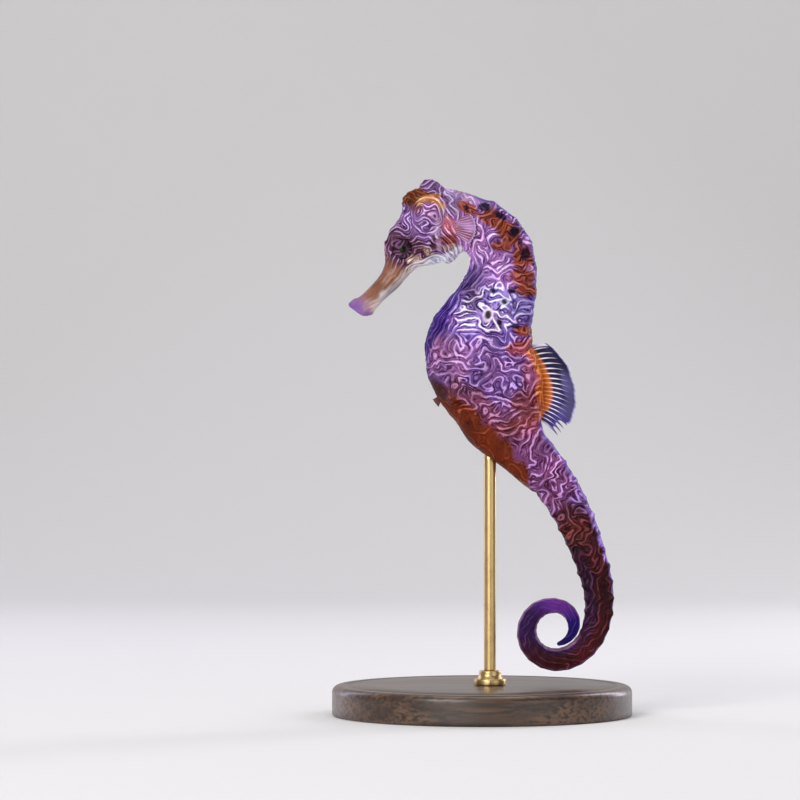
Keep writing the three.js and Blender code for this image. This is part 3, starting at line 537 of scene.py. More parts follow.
middle_step = lengths(np.gradient(section[:, 0:2], axis=0))[:, None]
room = np.clip(down_length / np.maximum(middle_step, 1e-3), 0, 1)
trunk_ridge = np.max([bell(from_back, place, RIDGE_WIDTH) for place in TRUNK_RIDGES], 0)
tail_ridge = np.max([bell(from_back, place, RIDGE_WIDTH) for place in TAIL_RIDGES], 0)
ridge = blend(trunk_ridge, tail_ridge, smooth(Q, TAIL_ROOT - 4, TAIL_ROOT))
ringed = smooth(Q, NAPE, NAPE + 2) * np.clip(half_depth / HOOP_FULL, 0.25, 1) * (1 - pouch_area)
hoops = HOOP_HEIGHT * wave(R) ** 1.5 * (0.4 + 0.6 * ridge)
raised = ringed * room * (hoops + RIDGE_HEIGHT * ridge - RIDGE_HEIGHT)

nearest = np.round(R)
per_ring = down_length / np.maximum(np.gradient(R, axis=0), 1e-4)
turn_step = np.abs((2 * step_round(degrees) + 180) % 360 - 180) / 2
per_degree = across_length / np.maximum(turn_step, 1e-4)
large = np.clip(half_depth / KNOB_FULL, 0.45, 1) * np.where(nearest % 3 == 1, TALL_KNOB, 1.0)
last_trunk_ring = math.floor(np.interp(LAST_TRUNK_ROW, fine_q, fine_ring))
last_tail_ring = last_trunk_ring + KNOBBED_TAIL_RINGS
knob_room = smooth(room, 0.5, 0.9) * (1 - pouch_area) * (Q > NAPE)
dying_away = fade(nearest, last_tail_ring - 5, last_tail_ring + 1)
for places, first, last, radius, share in (
    (TRUNK_RIDGES, 1, last_trunk_ring, KNOB_RADIUS, 1.0),
    (TAIL_RIDGES, last_trunk_ring + 1, last_tail_ring, TAIL_KNOB_RADIUS, dying_away),
):
    for place in places:
        away = np.hypot((R - nearest) * per_ring, (from_back - place) * per_degree)
        height = KNOB_HEIGHT * large * (LOW_KNOB if place == TRUNK_RIDGES[0] else 1.0)
        knob = height * bell(away, 0, radius * large) * (nearest >= first) * (nearest <= last)
        raised += knob * share * knob_room

# %% Forms of the head
GILL, GILL_EDGE = (-11.1, 97.6, 3.1, 4.5, -14.0), (-8.8, 95.6, 0.6, 3.4, 6)
LIP_HEIGHT, MOUTH_DEPTH, GILL_EDGE_HEIGHT = 0.12, 0.28, 0.25
GILL_HEIGHT, GILL_GROOVE, EYE_RING_HEIGHT, EYE_RING_RADIUS, SOCKET_DEPTH = 0.55, 0.22, 0.55, 2.42, 1.5
BUMPS = [  # x, distance from the middle, z, radius and height
    (EYE_X - 1.5, 2.3, EYE_Z + 2.8, 0.75, 0.8),  # spine over the eye
    (-7.0, 1.9, 91.4, 0.7, 0.6),  # cheek
    (-9.0, 2.7, 101.8, 0.8, 0.5),  # temple
    (-14.6, 0.0, 102.6, 1.3, 0.7),  # forehead
    (-18.7, 0.7, 97.0, 0.8, 0.95),  # spine of the brow
    (-19.6, 0.6, 94.7, 0.5, 0.8),  # nose
    (-18.7, 1.35, 91.4, 0.34, -0.4),  # nostril
]
from_eye = np.hypot(X - EYE_X, Z - EYE_Z)
from_gill = from_ellipse(*GILL)
on_head = (Q > 2) & (Q < 14)
gill_edge = spot(*GILL_EDGE, 0.4) * on_head
head_flank = on_head * smooth(np.abs(Y), 1.4, 2.6)
raised += head_flank * GILL_HEIGHT * np.sqrt(np.clip(1 - from_gill**2, 0, 1))
raised -= head_flank * GILL_GROOVE * bell(from_gill, 1.12, 0.1)
raised += head_flank * EYE_RING_HEIGHT * bell(from_eye, EYE_RING_RADIUS, 0.38)
raised -= head_flank * SOCKET_DEPTH * fade(from_eye, 1.5, 2.15)
raised += head_flank * GILL_EDGE_HEIGHT * spot(*GILL_EDGE, 0.5)
for x, y, z, radius, height in BUMPS:
    away = lengths(np.stack([X - x, np.abs(Y) - y, Z - z], -1))
    raised += height * bell(away, 0, radius) * on_head
raised += (Q > 0) * LIP_HEIGHT * bell(Q, 0, 0.35)
raised -= (Q > 0) * MOUTH_DEPTH * bell(from_back, 82, 7.0) * fade(Q, 0.15, 0.75)

# %% Strength of the fine ridges
CREST_HEIGHT, GROOVE_DEPTH = 0.15, 0.1
POUCH_WIDENING = 0.12
NET_HOLES = ((4.4, 82.6, 0.6, 0.5, 0), (1.1, 79.9, 0.65, 0.9, -15))
HOLE_DEPTH, HOLE_RING = 0.2, 1.65  # millimetres, and the pale ring's size in holes
fin_root = fade(from_back, 14, 34) * span(Q, 23.2, 24.0, 27.8, 28.8)
holes = [spot(*hole, 0.4) for hole in NET_HOLES]
raised -= HOLE_DEPTH * sum(holes)
strength = by_row(
    [0, 2, 4.8, 6.2, 30, 40, 46, 56, 66, 76, 102],
    [0.14, 0.14, 0.22, 0.95, 1.0, 0.95, 0.72, 0.52, 0.4, 0.27, 0.25],
)
for share, calmer in (  # how much calmer the skin is, and where
    (0.7, pouch_area), (0.75, fin_root), (0.5, spot(-3.6, 103.4, 4.8, 1.7, -12, 0.4)), (0.6, gill_edge),
    (0.8, spot(-8.8, 65.0, 3.8, 2.8, -50, 0.5)), (1.0, holes[0]), (1.0, holes[1]),
    (0.35, smooth(from_back, 112, 134) * span(Q, 4, 6, 12, 14)),
):
    strength = strength * (1 - share * calmer)
strength *= smooth(from_eye, 1.6, 2.1) * np.clip(room * 1.6, 0.1, 1)
relief = CREST_HEIGHT * smooth(ridges, -0.1, 1.0) - GROOVE_DEPTH * smooth(-ridges, 0.1, 1.0)
shaped = np.stack([X, Y * (1 + POUCH_WIDENING * pouch_area), Z], -1)
shaped += normal * (raised + relief * strength)[..., None]
print("raised forms from", round(float(raised.min()), 2), "to", round(float(raised.max()), 2), "mm")

# %% [markdown]
# ## Markings
#
# The markings are what makes this animal: a tan snout with a lilac tip, a white throat, an orange
# brow, rust patches and ink spots along the nape, a pale net on the chest, a red root under the
# dorsal fin, a smooth orange pouch and a tail that darkens from lilac to plum. A painter lays down
# broad zones first and then the patches on top. The same is done here, with three paints for every
# place: one for the grooves, one for the flanks of a ridge and one for its crest.

# %% Paints
PAINTS = {
    "snout_tan": [(80, 48, 34), (138, 96, 74), (182, 144, 116)],
    "snout_tip": [(92, 60, 100), (132, 96, 150), (176, 144, 216)],
    "snout_pale": [(156, 134, 132), (220, 208, 202), (250, 244, 240)],
    "eye_brown": [(34, 8, 22), (92, 54, 74), (172, 132, 176)],
    "cream": [(96, 66, 64), (190, 162, 154), (232, 212, 202)],
    "cheek": [(62, 24, 62), (140, 96, 152), (226, 190, 250)],
    "swirl": [(78, 40, 86), (138, 97, 148), (214, 180, 232)],
    "brow_orange": [(64, 22, 8), (116, 50, 18), (160, 90, 48)],
    "arch_yellow": [(150, 84, 46), (222, 160, 106), (255, 226, 178)],
    "throat_white": [(138, 130, 150), (222, 218, 228), (255, 253, 255)],
    "gill_red": [(118, 44, 50), (200, 112, 130), (252, 202, 226)],
    "crown": [(50, 30, 62), (116, 82, 128), (190, 158, 214)],
    "nape_lilac": [(88, 60, 110), (180, 144, 186), (226, 206, 240)],
    "rust": [(60, 14, 9), (142, 61, 27), (178, 97, 64)],
    "neck_lilac": [(90, 46, 104), (162, 114, 178), (238, 204, 254)],
    "chest_blue": [(16, 4, 54), (46, 18, 106), (100, 58, 172)],
    "chest_lilac": [(64, 34, 106), (130, 98, 174), (216, 188, 248)],
    "net": [(38, 18, 78), (168, 138, 218), (255, 250, 255)],
    "trunk_lilac": [(64, 28, 80), (120, 82, 146), (212, 172, 240)],
    "belly_lilac": [(86, 42, 72), (164, 108, 160), (226, 178, 234)],
    "fin_red": [(100, 30, 42), (174, 87, 106), (230, 160, 194)],
    "fin_orange": [(128, 52, 12), (200, 96, 20), (240, 160, 86)],
    "low_red": [(58, 10, 12), (113, 52, 52), (170, 108, 126)],
    "low_trunk": [(80, 18, 20), (142, 65, 68), (200, 128, 148)],
    "belly_brown_and_shade": [(38, 17, 14), (62, 28, 20), (100, 54, 48)],
    "pouch_orange": [(50, 14, 3), (106, 38, 11), (154, 78, 48)],
    "tail_lilac": [(68, 18, 56), (128, 74, 124), (202, 156, 220)],
    "tail_mauve": [(50, 16, 42), (108, 66, 112), (184, 142, 216)],
    "tail_rust": [(34, 6, 5), (88, 32, 28), (132, 72, 68)],
    "tail_maroon": [(22, 2, 5), (64, 19, 20), (106, 46, 50)],
    "tail_plum": [(14, 2, 14), (48, 17, 42), (82, 46, 84)],
    "tail_rim_highlight": [(84, 52, 116), (138, 105, 186), (196, 162, 240)],
    "hook": [(38, 6, 14), (62, 20, 30), (108, 68, 94)],
    "coil_violet": [(18, 3, 28), (48, 20, 66), (90, 58, 128)],
    "coil_top": [(46, 12, 64), (86, 38, 124), (132, 88, 176)],
    "coil_indigo": [(14, 2, 58), (34, 12, 92), (80, 62, 136)],
    "coil_rim_highlight": [(86, 54, 92), (140, 102, 142), (190, 152, 186)],
    "ink": [(8, 4, 18), (22, 10, 36), (46, 26, 72)],
    "violet_rim_highlight": [(64, 40, 114), (110, 82, 170), (176, 152, 228)],
}


def linear(rgb):
    """Paint values from 0 to 255 as the linear amounts of light that shaders work with."""
    v = np.asarray(rgb, float) / 255.0
    return np.where(v <= 0.04045, v / 12.92, ((v + 0.055) / 1.055) ** 2.4)


PAINTS = {name: linear(three) for name, three in PAINTS.items()}

# %% Zones along the body
ZONES = [
    (0.0, "snout_tip"), (0.9, "snout_tip"), (2.7, "snout_tan"), (4.6, "snout_tan"), (5.8, "eye_brown"),
    (7.0, "eye_brown"), (8.2, "cheek"), (11.0, "cheek"), (12.5, "neck_lilac"), (18.5, "neck_lilac"),
    (20.0, "chest_lilac"), (22.5, "chest_lilac"), (24.0, "trunk_lilac"), (26.5, "trunk_lilac"),
    (28.0, "low_trunk"), (30.0, "tail_lilac"), (34.0, "tail_lilac"), (37.0, "tail_mauve"),
    (42.0, "tail_maroon"), (50.0, "tail_plum"), (66.0, "tail_plum"), (72.0, "hook"), (78.0, "hook"),
    (83.0, "coil_violet"), (87.0, "coil_violet"), (91.0, "coil_top"), (94.0, "coil_top"),
    (97.0, "coil_indigo"), (102.0, "coil_indigo"),
]
stops = [stop for stop, name in ZONES]
zone_paint = np.array([PAINTS[name] for stop, name in ZONES])  # zones, three paints, three channels
paint = np.stack([[np.interp(row_q, stops, zone_paint[:, p, k]) for k in range(3)] for p in range(3)])
paint = np.repeat(np.moveaxis(paint, 2, 0)[:, None], COLUMNS, 1)  # rows, columns, paints, channels
ragged = 0.22 * cloud(skin, 3.2, 21) + 0.12 * cloud(skin, 1.5, 22) + 0.2 * ridges


def tint_all(rgb, mask):
    """Lays one colour over all three paints, as far as the mask goes."""
    global paint
    paint = blend(paint, linear(rgb), mask[..., None, None])


def lay(name, mask, amount=1.0):
    """Lays a paint over what is there, as far as the mask goes, with an edge that wanders."""
    global paint
    inner = np.clip(mask * 1.3 - 0.15 + ragged * 4 * mask * (1 - mask), 0, 1) * amount
    paint = blend(paint, PAINTS[name], inner[..., None, None])


def lay_spots(*rows):
    """Lays leaning ellipses. A row gives a paint, its amount, how soft the edge is, and one or more
    ellipses by place, radii and lean."""
    for name, amount, edge, *places in rows:
        for place in places:
            lay(name, spot(*place, edge), amount)


# %% Patches of the head
lay_spots(
    ("cream", 1.0, 0.35, (-13.7, 91.2, 1.5, 0.9, 20)),
    ("eye_brown", 1.0, 0.35, (-13.4, 93.6, 2.6, 1.6, -30)),
    ("cream", 1.0, 0.35, (-10.6, 92.6, 1.3, 0.8, -40)),
    ("eye_brown", 1.0, 0.35, (-9.6, 93.9, 1.0, 1.4, 0)),
    ("swirl", 1.0, 0.35, (-11.0, 99.6, 3.2, 3.4, 0)),
    ("brow_orange", 1.0, 0.35, (-13.4, 103.9, 3.0, 2.0, 10), (-9.6, 104.3, 3.0, 0.9, -4)),
    ("nape_lilac", 1.0, 0.35, (-5.6, 101.4, 0.9, 2.2, 20)),
    ("brow_orange", 0.7, 0.6, (-13.4, 101.8, 1.3, 1.5, 20)),
)
arch_ring = bell(from_swirl, 3.1, 0.75) * on_head
round_swirl = np.degrees(np.arctan2(Z - SWIRL_Z, X - SWIRL_X))
lay("arch_yellow", arch_ring * span(round_swirl, 0, 40, 118, 150), 0.95)
lay("nape_lilac", arch_ring * span(round_swirl, -100, -70, 0, 40), 0.85)
lay("nape_lilac", gill_edge)
lay_spots(
    ("gill_red", 0.85, 0.45, (-6.6, 98.0, 1.5, 1.9, 10)),
    ("rust", 0.85, 0.45, (-6.7, 94.9, 1.7, 1.0, 0)),
    ("cream", 0.85, 0.45, (-6.8, 93.5, 2.0, 0.5, 10)),
)
above_belly = back - lift + half_depth * size  # seen from the side
throat = by_row([0, 2.5, 4.5, 6, 7.5, 9, 10.5, 12], [0.8, 1.0, 1.2, 1.5, 1.9, 2.1, 1.6, 1.0])
under = fade(above_belly, throat - 0.5, throat + 0.5) * fade(Q, 11.0, 12.6)
lay("snout_pale", fade(above_belly, 0.2, 2.2) * span(Q, 0.3, 2.2, 5.4, 7.0))
lay("snout_tip", fade(from_back, 14, 32) * fade(Q, 4.4, 5.4), 0.5)
lay("throat_white", under * smooth(Q, 4.6, 6.4))
lay_spots(
    ("cream", 0.35, 0.5, (-22.6, 81.9, 1.5, 1.1, 40)),
    ("cream", 0.4, 0.6, (-18.7, 87.6, 2.0, 0.7, 50)),
    ("brow_orange", 0.35, 0.6, (-21.4, 85.0, 2.2, 0.7, 50)),
)
# Painted rim highlight: a pale violet edge along the upper part of the snout's tip.
lay("violet_rim_highlight", fade(Q, 0.15, 0.7) * fade(from_back, 70, 120), 0.5)
lay_spots(("nape_lilac", 0.95, 0.35, (-4.0, 104.0, 5.2, 1.3, -12)))

# %% Where the rays of the dorsal fin start
DORSAL_RAYS = 18
DORSAL_ROOT = [[9.8, 73.9], [12.8, 65.6], [11.8, 59.0]]
DORSAL_FAN, DORSAL_BEND = (23.0, -27.0), 16.0


def root_rays():
    """The fin's rays drawn on across the skin: each point is carried out along a ray to the root,
    whose place along the fin, from 0 to 1, is found by three rounds of correction."""
    along_root = np.linspace(0, 1, 201)
    root = spline_rows(DORSAL_ROOT, 2 * along_root)
    u = np.clip((DORSAL_ROOT[0][1] - Z) / (DORSAL_ROOT[0][1] - DORSAL_ROOT[-1][1]), 0, 1)
    for _ in range(3):
        short = np.interp(u, along_root, root[:, 0]) - X
        at_root = Z + short * np.tan(np.radians(blend(*DORSAL_FAN, u)))
        u = np.interp(-at_root, -root[:, 1], along_root)
    return wave(DORSAL_RAYS * u) ** 3 * fade(short, 0.4, 2.6)


# %% Patches of the neck and trunk
# Painted rim highlight: a pale violet edge along the back of the neck.
lay("violet_rim_highlight", fade(from_back, 20, 42) * span(Q, 12.5, 14, 21, 24), 0.85)
lay_spots((
    "rust", 0.95, 0.45,
    (-2.9, 101.2, 2.2, 1.2, -30), (2.4, 98.9, 3.0, 1.9, -20), (5.3, 96.2, 3.2, 2.2, -45),
    (7.9, 91.6, 2.4, 2.0, -70), (8.3, 87.6, 2.6, 1.6, 0), (8.8, 84.9, 2.2, 1.4, -10),
    (4.0, 93.6, 2.2, 1.0, -10), (8.6, 76.6, 2.4, 1.2, 0),
))
blue_from = by_row([17, 20.5, 23.5], [118, 117, 108])
chest = smooth(from_back, blue_from, blue_from + 26) * span(Q, 16.5, 18.5, 23.6, 26.2)
lay("chest_blue", chest, 0.95)
lay_spots(
    ("chest_lilac", 0.3, 0.5, (-3.0, 88.0, 3.2, 6.0, -20)),
    ("net", 1.0, 0.4, (1.2, 80.9, 6.0, 4.4, 12)),
    ("net", 0.6, 0.4, (6.6, 81.6, 3.0, 2.2, 0)),
    ("belly_lilac", 0.7, 0.5, (-6.0, 71.0, 5.0, 5.0, 0)),
    ("fin_red", 0.95, 0.4, (9.4, 73.4, 4.6, 1.8, 0)),
    ("fin_red", 0.6, 0.4, (10.9, 67.6, 2.8, 6.4, 0)),
    ("rust", 0.5, 0.5, (9.0, 74.1, 3.4, 1.2, -6)),
    ("low_red", 0.85, 0.4, (9.6, 62.4, 3.6, 2.8, 0)),
)
fin_root_paint = fade(from_back, 16, 46) * span(Q, 23.0, 23.8, 27.8, 28.8)
lay("fin_orange", fin_root_paint)
tint_all((240, 158, 92), 0.75 * root_rays() * (from_back < 60) * fin_root_paint)
# Painted light: the skin beside the fin root is made brighter towards the back edge, to lift the shade that
# falls there.
paint = paint * (1 + 0.55 * fin_root * fade(from_back, 4, 26))[..., None, None]
# Painted shade: the underside of the lower trunk is laid dark brown where it faces down; the same paint
# makes a brown patch below.
lay("belly_brown_and_shade", smooth(from_back, 132, 156) * span(Q, 23.6, 25.0, 27.2, 28.8), 0.95)
lay_spots(
    ("belly_brown_and_shade", 0.9, 0.4, (-7.6, 63.7, 3.8, 1.7, -44)),
    ("low_red", 0.7, 0.4, (-2.0, 62.6, 6.0, 2.6, -35)),
    ("pouch_orange", 1.0, 0.34, (0.2, 52.6, 12.4, 4.7, -45.5)),
    ("pouch_orange", 1.0, 0.35, (-3.9, 60.0, 5.0, 2.4, -40)),
    (
        "ink", 0.95, 0.35,
        (-3.1, 101.3, 0.4, 0.7, 0), (0.4, 101.5, 1.1, 0.75, -10), (3.8, 99.8, 1.4, 0.7, -25),
        (6.5, 96.6, 0.95, 1.1, -30), (8.6, 92.1, 0.9, 1.2, -10), (7.6, 94.6, 0.5, 0.7, 0),
        (5.8, 84.7, 0.8, 0.5, 0), (2.0, 84.7, 0.7, 0.55, 0), (3.4, 78.6, 0.6, 0.75, 0),
        (6.6, 77.7, 0.95, 0.5, 0),
    ),
)
for x, z, rx, rz, lean_degrees in NET_HOLES:
    tint_all((236, 226, 250), 0.85 * spot(x, z, HOLE_RING * rx, HOLE_RING * rz, lean_degrees, 0.2))
    tint_all((18, 8, 30), 0.95 * spot(x, z, rx, rz, lean_degrees, 0.16))

# %% Patches of the tail
lay_spots(("tail_mauve", 0.3, 0.4, (21.4, 34.6, 1.2, 2.2, 20)))
lay("tail_maroon", fade(from_back, 84, 112) * span(Q, 42, 47, 72, 78), 0.85)
lay_spots(("tail_rust", 0.8, 0.4, (18.3, 38.0, 5.1, 2.7, -63)))
# Painted rim highlight: a pale lilac edge along the back of the tail, where it turns away from the side.
rim = by_row([27, 30, 34, 50, 60, 70], [34, 52, 66, 60, 46, 44])
rim_highlight_amount = by_row([27, 34, 54, 60, 72, 76], [0.9, 1.0, 0.95, 0.55, 0.5, 0.0])
lay("tail_rim_highlight", fade(from_back, rim - 18, rim) * smooth(Q, 27, 29.5), rim_highlight_amount)
lay("coil_violet", smooth(from_back, 96, 120) * span(Q, 66, 72, 84, 90), 0.7)
# Painted rim highlights: pale edges along both sides of the coil.
lay("coil_rim_highlight", smooth(from_back, 124, 138) * span(Q, 64, 70, 92, 98), 0.85)
lay("coil_rim_highlight", fade(from_back, 40, 54) * span(Q, 62, 70, 98, 102), 0.7)

# %% Broad tones
COOL, WARM = np.array([0.93, 0.97, 1.06]), np.array([1.08, 0.99, 0.94])
tone_field = 1 + 0.15 * cloud(skin, 5.5, 23)
warmth = 0.5 + 0.5 * np.tanh(cloud(skin, 4.6, 24))
paint = paint * (tone_field[..., None] * blend(COOL, WARM, warmth[..., None]))[:, :, None]
# Painted highlight on the crests: brighter in some places, duller in others, brightest on the net.
glow = np.clip(0.86 + 0.36 * cloud(skin, 2.6, 25), 0.3, 1.2)
glow = np.maximum(glow, 1.05 * net_area)[..., None]
paint[:, :, 2] = blend(paint[:, :, 1], paint[:, :, 2], glow)
paint = np.clip(paint, 0.0, 1.0)
print("markings laid on", ROWS * COLUMNS, "points")

# %% [markdown]
# ## Shader tools
#
# Two effects come back in several finishes. Mottle adds the uneven tone that any hand-painted
# surface has, and grain gives lines drawn out along one axis, for brushed metal and for wood.
# Each is a node group, built once, and every material places it with its own numbers.

# %% Node groups
def node(tree, kind, inputs=(), **settings):
    """Adds a node, sets its plain properties, and feeds its inputs, named or numbered: each takes a
    value or is joined to another node's socket."""
    made = tree.nodes.new(kind)
    for key, value in settings.items():
        setattr(made, key, value)
    for key, value in dict(inputs).items():
        if isinstance(value, bpy.types.NodeSocket):
            tree.links.new(value, made.inputs[key])
        else:
            made.inputs[key].default_value = value
    return made


def maths(tree, operation, *values):
    """A Math node on sockets or plain numbers, given as its output socket."""
    return node(tree, "ShaderNodeMath", enumerate(values), operation=operation).outputs[0]


def colour_mix(tree, factor, a, b):
    """A Mix node for colours. Each of a, b and factor is a socket or a plain value."""
    return node(tree, "ShaderNodeMix", {0: factor, 6: a, 7: b}, data_type="RGBA").outputs[2]


def ramp_mask(tree, source, low, high):
    """A Map Range node with a smooth step: 0 below low and 1 above high."""
    numbers = {"Value": source, "From Min": low, "From Max": high}
    return node(tree, "ShaderNodeMapRange", numbers, interpolation_type="SMOOTHSTEP").outputs["Result"]


def new_group(name, outputs, **numbers):
    """A node group with named inputs (and their defaults) and named number outputs."""
    tree = bpy.data.node_groups.new(name, "ShaderNodeTree")
    for key, value in numbers.items():
        kind = "NodeSocketFloat" if isinstance(value, float) else "NodeSocketVector"
        tree.interface.new_socket(key, in_out="INPUT", socket_type=kind).default_value = value
    for key in outputs:
        tree.interface.new_socket(key, in_out="OUTPUT", socket_type="NodeSocketFloat")
    return tree, tree.nodes.new("NodeGroupInput").outputs, tree.nodes.new("NodeGroupOutput").inputs


def make_mottle():
    """Noise about 1, with five sizes of detail: Tone = 1 + Amount x (noise - 0.5)."""
    tree, given, out = new_group("mottle", ("Tone", "Height"), Vector=(0, 0, 0), Scale=400.0, Amount=0.3)
    fed = {"Vector": given["Vector"], "Scale": given["Scale"], "Detail": 5.0, "Roughness": 0.6}
    height = node(tree, "ShaderNodeTexNoise", fed).outputs["Fac"]
    tone = maths(tree, "MULTIPLY_ADD", maths(tree, "SUBTRACT", height, 0.5), given["Amount"], 1.0)
    tree.links.new(tone, out["Tone"])
    tree.links.new(height, out["Height"])
    return tree


def make_grain():
    """Noise stretched along Z by dividing that coordinate by Length: fine lines along the axis."""
    tree, given, out = new_group("grain", ("Lines",), Vector=(0, 0, 0), Scale=900.0, Length=30.0)
    x, y, z = node(tree, "ShaderNodeSeparateXYZ", {0: given["Vector"]}).outputs
    short_z = maths(tree, "DIVIDE", z, given["Length"])
    joined = node(tree, "ShaderNodeCombineXYZ", {0: x, 1: y, 2: short_z})
    fed = {"Vector": joined.outputs[0], "Scale": given["Scale"], "Detail": 4.0}
    tree.links.new(node(tree, "ShaderNodeTexNoise", fed).outputs["Fac"], out["Lines"])
    return tree


def make_skin_lines():
    """The lines of the skin by the same sum as lines_of, with a shift added to every phase."""
    tree, given, out = new_group("skin_lines", ("Lines",), Field=0.0, Octave=0.0, Tilt=0.0, Shift=0.0)
    total = 0.0
    for k in OCTAVES:
        away = maths(tree, "ABSOLUTE", maths(tree, "SUBTRACT", given["Octave"], float(k)))
        weight = maths(tree, "MAXIMUM", maths(tree, "SUBTRACT", 1.0, away), 0.0)
        phase = maths(tree, "MULTIPLY_ADD", given["Field"], math.tau * 2.0**k, given["Shift"])
        leaned = maths(tree, "MULTIPLY_ADD", given["Tilt"], maths(tree, "COSINE", phase), phase)
        total = maths(tree, "MULTIPLY_ADD", weight, maths(tree, "COSINE", leaned), total)
    tree.links.new(total, out["Lines"])
    return tree


MOTTLE, GRAIN, SKIN_LINES = make_mottle(), make_grain(), make_skin_lines()


# %% What every material needs
def new_material(name, **numbers):
    """A material with one Principled shader, whose plain numbers are set on its own sockets, and
    the place of each point in the object's own coordinates."""
    material = bpy.data.materials.new(name)
    material.use_nodes = True
    tree = material.node_tree
    shader = tree.nodes["Principled BSDF"]
    for key, value in numbers.items():
        shader.inputs[key.replace("_", " ")].default_value = value
    return material, tree, shader, node(tree, "ShaderNodeTexCoord").outputs["Object"]


def place_group(tree, group, vector, **numbers):
    """Puts a group into a material, fed by a vector, with its own numbers, given as its outputs."""
    return node(tree, "ShaderNodeGroup", {"Vector": vector, **numbers}, node_tree=group).outputs


def attribute(tree, name, output="Fac"):
    """Reads an attribute of the mesh."""
    return node(tree, "ShaderNodeAttribute", attribute_name=name).outputs[output]


def give_colour(tree, shader, colour, tone):
    """Feeds the shader a colour that is made uneven by a tone."""
    scaled = node(tree, "ShaderNodeVectorMath", {0: colour, "Scale": tone}, operation="SCALE")
    tree.links.new(scaled.outputs[0], shader.inputs["Base Color"])


def give_bump(tree, shader, height, strength, distance):
    """Feeds the shader the small slopes of a height, whose full rise is the distance in metres."""
    bump = node(tree, "ShaderNodeBump", {"Height": height, "Strength": strength, "Distance": distance})
    tree.links.new(bump.outputs[0], shader.inputs["Normal"])


# %% [markdown]
# ## Painted skin
#
# The cast is painted resin under a thin satin varnish, and a little light passes into it as it does
# in wax. The three paints are chosen by the height of the fine ridges, so every crest is pale and
# every groove dark: a painted highlight on the crests and painted shade in the grooves, on top of
# the real relief. A faint violet sheen lifts the edges that turn away.

# %% Skin material
WAVER, WANDER = 5.0, 16.0  # how far noise shifts the broad and the fine lines, in radians
BROAD_SHARE, FINE_SHARE = (3.0, -0.65), (4.0, -1.4)  # their heights, as a slope and a start over noise
FLANK_FROM, CREST_FROM = (-0.95, 0.2), (0.14, 0.86)  # heights between which each paint takes over
skin_material, tree, shader, place = new_material(
    "painted_skin",
    Roughness=0.5,
    Specular_IOR_Level=0.08,
    Coat_Weight=0.02,
    Coat_Roughness=0.3,
    Sheen_Weight=0.02,
    Sheen_Roughness=0.35,
    Sheen_Tint=(0.62, 0.5, 1.0, 1.0),
    Subsurface_Weight=0.06,
    Subsurface_Radius=(0.0012, 0.0006, 0.0008),
    Subsurface_Scale=1.0,
)
mottle, patches, streaks = (
    place_group(tree, MOTTLE, place, Scale=scale, Amount=0.4) for scale in (900.0, 330.0, 620.0)
)


def about_zero(noise, swing):
    """Noise from 0 to 1 as a number that swings about 0."""
    return maths(tree, "MULTIPLY_ADD", noise, swing, -swing / 2)


def mixed_lines(finer, shift, noise, share):
    """Both sets of lines, each from its own field, mixed by share_b and varied by noise. Finer adds
    to the octave, and each 1 added halves the spacing. The shift moves the lines to and fro."""
    both = []
    for letter in "ab":
        field, level = attribute(tree, "field_" + letter), attribute(tree, "octave_" + letter)
        fed = {"Field": field, "Octave": maths(tree, "ADD", level, finer), "Tilt": attribute(tree, "tilt")}
        fed["Shift"] = shift
        both.append(node(tree, "ShaderNodeGroup", fed, node_tree=SKIN_LINES).outputs["Lines"])
    fed = {0: attribute(tree, "share_b"), 2: both[0], 3: both[1]}
    mixed = node(tree, "ShaderNodeMix", fed, data_type="FLOAT").outputs[0]
    return maths(tree, "MULTIPLY", mixed, maths(tree, "MULTIPLY_ADD", noise, *share))


broad = mixed_lines(0.0, about_zero(streaks["Height"], WAVER), patches["Height"], BROAD_SHARE)
fine = mixed_lines(1.0, about_zero(patches["Height"], WANDER), streaks["Height"], FINE_SHARE)
strong = maths(tree, "MULTIPLY", maths(tree, "ADD", broad, fine), attribute(tree, "strength"))
height = maths(tree, "ADD", strong, about_zero(mottle["Height"], 0.3))
groove, flank, crest = (attribute(tree, name, "Color") for name in ("groove", "flank", "crest"))
# Painted shade and highlight: the groove paint where the lines are low, the crest paint where they are high.
under = colour_mix(tree, ramp_mask(tree, height, *FLANK_FROM), groove, flank)
painted = colour_mix(tree, ramp_mask(tree, height, *CREST_FROM), under, crest)
give_colour(tree, shader, painted, mottle["Tone"])
give_bump(tree, shader, height, 0.5, 0.00006)

# %% [markdown]
# ## The skin mesh
#
# The table has the same number of columns everywhere, which would crowd the snout and the tail
# with points. There only every second or fourth column is kept. Where a coarse part meets a finer
# one, each long edge is joined to two short ones by three triangles, so the skin stays closed.

